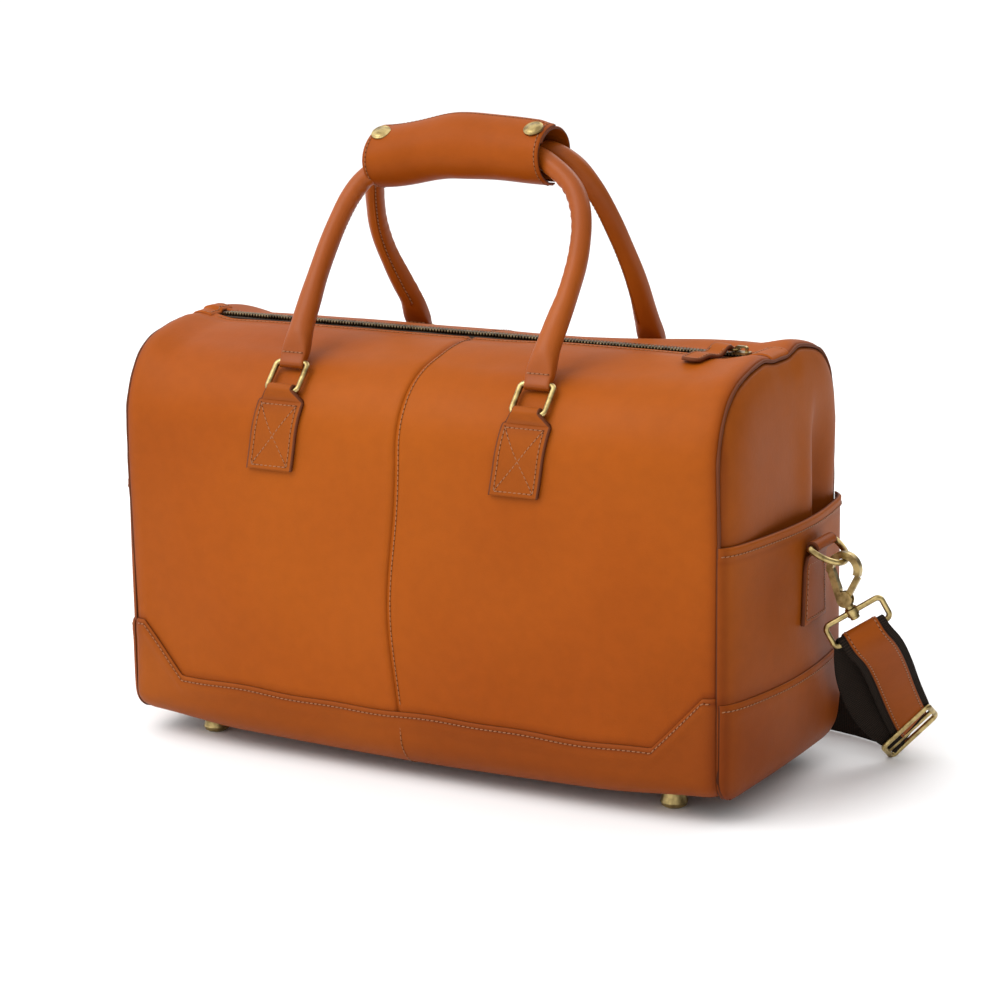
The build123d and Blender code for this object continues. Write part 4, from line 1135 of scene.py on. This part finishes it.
def wrap_rows(angles, x, grow, droop):
    """Points of the wrap round its oval section; angle 0 faces back, 90 up, 180 front."""
    tt, xx = np.meshgrid(np.radians(angles), x, indexing="ij")
    rise = 4.5 * mound(xx, 6.0, 42.0) - 2.0 * soft_step(xx, 56, 69)
    sink = 8.0 * soft_step(-xx, 12, 80)
    soft = 0.5 * ripple(xx / 14.0, tt * 2.2, 5.0)
    a, b = 22.0 + grow + soft, 19.0 + grow + soft
    up = np.clip(np.sin(tt), 0, 1)
    z = WRAP_Z + b * np.sin(tt) + rise * up * droop - sink
    z = z + 2.4 * np.clip(-np.sin(tt), 0, 1) * mound(xx, 8.0, 40.0) * droop
    flare = 1.2 * mound(np.abs(xx - WRAP_X), WRAP_HALF, 7.0)
    bulge = 6.0 * soft_step(-xx, 30, 74) * np.clip(-np.cos(tt), 0, 1)
    return np.stack([xx, (a + flare) * np.cos(tt) - bulge, z], -1)


def wrap_piece(name, angles, grow, droop, body, node):
    x = steps(WRAP_X - WRAP_HALF, WRAP_X + WRAP_HALF, 60)
    outer = wrap_rows(angles, x, grow + 2.0, droop)
    inner = wrap_rows(angles, x, grow, droop)
    piece = slab(name, outer, inner, body, materials=[TAN, EDGE], close=0.4)
    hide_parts(node)
    # painted shade on the wrap's underside; darker at its cut ends
    shade(piece, lambda x, y, z: 0.06 + 0.25 * mound(np.abs(x - WRAP_X), WRAP_HALF, 4.0)
          + 0.2 * soft_step(-z, -450, -436))


wrap_piece("wrap_back_leather", np.linspace(-90, 150, 60), 0.0, BACK_DROOP, "back_handle", "wrap_back")
wrap_piece("wrap_flap_leather", np.linspace(270, 86, 64), 2.4, FLAP_DROOP, "wrap_flap", "wrap_flap")


def wrap_line(angles, x):
    """A line of stitching on the flap, round it or along it."""
    points = wrap_rows(angles, x, 4.5, FLAP_DROOP).reshape(-1, 3)
    turn = np.radians(np.broadcast_to(angles, len(points)))
    return points, np.stack([np.zeros(len(points)), np.cos(turn), np.sin(turn)], 1)


flap_rows = [wrap_line([99.0], WRAP_X + np.linspace(-WRAP_HALF + 4, WRAP_HALF - 4, 60))]
for x in (WRAP_X - WRAP_HALF + 3, WRAP_X + WRAP_HALF - 3):
    flap_rows.append(wrap_line(np.linspace(262, 99, 40), [x]))
stitch_piece("wrap_flap_stitches", flap_rows, "wrap_flap", 3.6, 2.5, 0.36)

# snap caps: shallow domes with a rolled rim; profiles are (radius, height)
SNAP_OUT = np.array([0, -0.54464, 0.83867])
SNAP_ANGLE = 126.2
SNAP_X = 64.0
CAP_PROFILE = [(0.0, 2.5), (2.0, 2.42), (4.0, 2.1), (5.6, 1.6), (6.3, 1.25), (6.6, 1.35), (7.1, 1.5),
               (7.5, 1.2), (7.6, 0.6), (7.5, -0.6), (6.0, -0.9), (0.0, -0.9)]
STUD_PROFILE = [(0.0, 0.5), (2.4, 0.45), (3.3, 0.1), (3.5, -0.4), (3.5, -2.4), (0.0, -2.4)]


def turned(name, profile, x, grow, droop, body):
    """A turned metal piece on the wrap, facing along SNAP_OUT."""
    centre = wrap_rows([SNAP_ANGLE], [x], grow, droop)[0, 0]
    axis = unit(SNAP_OUT)
    first = unit(np.cross(axis, [1.0, 0.2, 0.1]))
    radius, high = np.array(profile).T
    line = centre + axis * high[:, None]
    second = np.cross(axis, first)
    rings = tube_rings(line, first[None, :], second[None, :], np.maximum(radius, 0.02), 40)
    return loft(name, rings, body, [BRASS])


cap_pieces, stud_pieces = [], []
for number, x in ((1, WRAP_X - SNAP_X), (2, WRAP_X + SNAP_X)):
    cap_pieces.append(turned(f"snap_cap_{number}", CAP_PROFILE, x, 4.2, FLAP_DROOP, "wrap_flap"))
    stud_pieces.append(turned(f"snap_stud_{number}", STUD_PROFILE, x, 2.0, BACK_DROOP, "back_handle"))
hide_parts("snap_caps")
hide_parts("snap_studs")

# ---- D-ring chapes ----
DRING_Y = 15.0
D_BAR = (277.5, 185.3)
D_LOOP_R = 3.65
profile, edges, crown = fold_profile(2.5, 14)
for end, way in ENDS:
    rings = []
    for height in np.linspace(128.0, 178.0, 34):
        y = DRING_Y + profile[:, 0] * np.interp(height, [128, 185], [22.0, 17.0])
        lift = np.interp(height, [128, 170, 178], [1.9, 1.9, 3.4])
        z = np.full_like(y, height)
        rings.append(np.column_stack([pocket_x(y, z) + lift + profile[:, 1] + crown, y, z]))
    for angle in np.radians(np.linspace(-12, 190, 20)):
        away = D_LOOP_R + profile[:, 1]
        x, z = D_BAR[0] + away * math.cos(angle), D_BAR[1] + away * math.sin(angle)
        rings.append(np.column_stack([x, DRING_Y + profile[:, 0] * 17.2, z]))
    chape = loft(f"dring_chape_{end}_leather", mirrored(rings, way), side_parts=edges)
    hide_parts(f"dring_chape_{end}")
    shade(chape, lambda x, y, z: 0.35 + 0.2 * mound(z, 180.0, 8.0))
    s = np.linspace(131.5, 172.0, 30)
    half = np.interp(s, [128, 185], [18.8, 13.8])
    for y, height in ((DRING_Y - half, s), (DRING_Y + half, s),
                      (np.linspace(DRING_Y - 18.5, DRING_Y + 18.5, 20), 131.5),
                      (np.linspace(DRING_Y - 14.9, DRING_Y + 14.9, 20), 172.0)):
        root_stitches.append(end_row(y, height, 3.55, way))

stitch_piece("bag_stitches", root_stitches)

# ---- CAD nodes that stay, in their own finishes ----
KEPT = {
    BRASS: ["feet", "foot_washers", "zip_slider", "zip_pull_ring", "strap_adjuster"],
    DARK_BRASS: ["zip_stops"],
    BOARD: ["base_board"],
}
PAIRED = ("dring", "hook_body", "hook_gate", "gate_pin", "hook_eye",
          "handle_ring_front", "handle_ring_back")
for end, _ in ENDS:
    KEPT[BRASS] += [f"{part}_{end}" for part in PAIRED]
for material, names in KEPT.items():
    for name in names:
        node = nodes[name]
        node.data.materials.clear()
        node.data.materials.append(material)
        if material is BRASS:
            rounding = node.modifiers.new("soft_edges", "BEVEL")
            rounding.width = 0.0005
            rounding.segments = 2
            rounding.limit_method = "ANGLE"
            rounding.angle_limit = math.radians(40)

# ---- floor and lights ----
def floor():
    half = 30.0
    corners = [(-half, -half, 0), (half, -half, 0), (half, half, 0), (-half, half, 0)]
    mesh = bpy.data.meshes.new("floor")
    mesh.from_pydata(corners, [], [(0, 1, 2, 3)])
    paint = Paint("pale_floor", specular_ior_level=0.2)
    tone = paint.ramp(paint.noise(3.0), (0.3, (0.86, 0.86, 0.86)), (0.7, (0.88, 0.88, 0.88)))
    mesh.materials.append(paint.done(tone, 0.7))
    ground = bpy.data.objects.new("floor", mesh)
    bpy.context.scene.collection.objects.link(ground)


def soft_light(name, place, target, size, power):
    data = bpy.data.lights.new(name, "AREA")
    data.shape = "RECTANGLE"
    data.size, data.size_y = size
    data.energy = power
    light = bpy.data.objects.new(name, data)
    bpy.context.scene.collection.objects.link(light)
    light.location = place
    light.rotation_euler = (Vector(target) - Vector(place)).to_track_quat("-Z", "Y").to_euler()


floor()
# a white studio, brighter from above and from the left of the view
world = bpy.data.worlds.new("studio")
world.use_nodes = True
sky = world.node_tree
height = sky.nodes.new("ShaderNodeVectorMath")
height.operation = "DOT_PRODUCT"
height.inputs[1].default_value = (-0.48, -0.22, 0.85)
sky.links.new(sky.nodes.new("ShaderNodeTexCoord").outputs["Generated"], height.inputs[0])
strength = sky.nodes.new("ShaderNodeMapRange")
for socket, value in (("From Min", -0.35), ("From Max", 0.9), ("To Min", 0.08), ("To Max", 1.7)):
    strength.inputs[socket].default_value = value
sky.links.new(height.outputs["Value"], strength.inputs["Value"])
sky.links.new(strength.outputs[0], sky.nodes["Background"].inputs["Strength"])
sky.nodes["Background"].inputs["Color"].default_value = (1.0, 1.0, 1.0, 1)
bpy.context.scene.world = world
# the default view transform turns the tan leather pale
bpy.context.scene.view_settings.view_transform = "Standard"
soft_light("key", (-1.2, -2.1, 2.6), (0, 0, 0.15), (2.6, 1.9), 62)
soft_light("fill", (1.9, -2.4, 1.2), (0, 0, 0.15), (1.6, 1.6), 5)
soft_light("rim", (0.6, 2.2, 1.9), (0, 0, 0.3), (1.8, 1.0), 18)
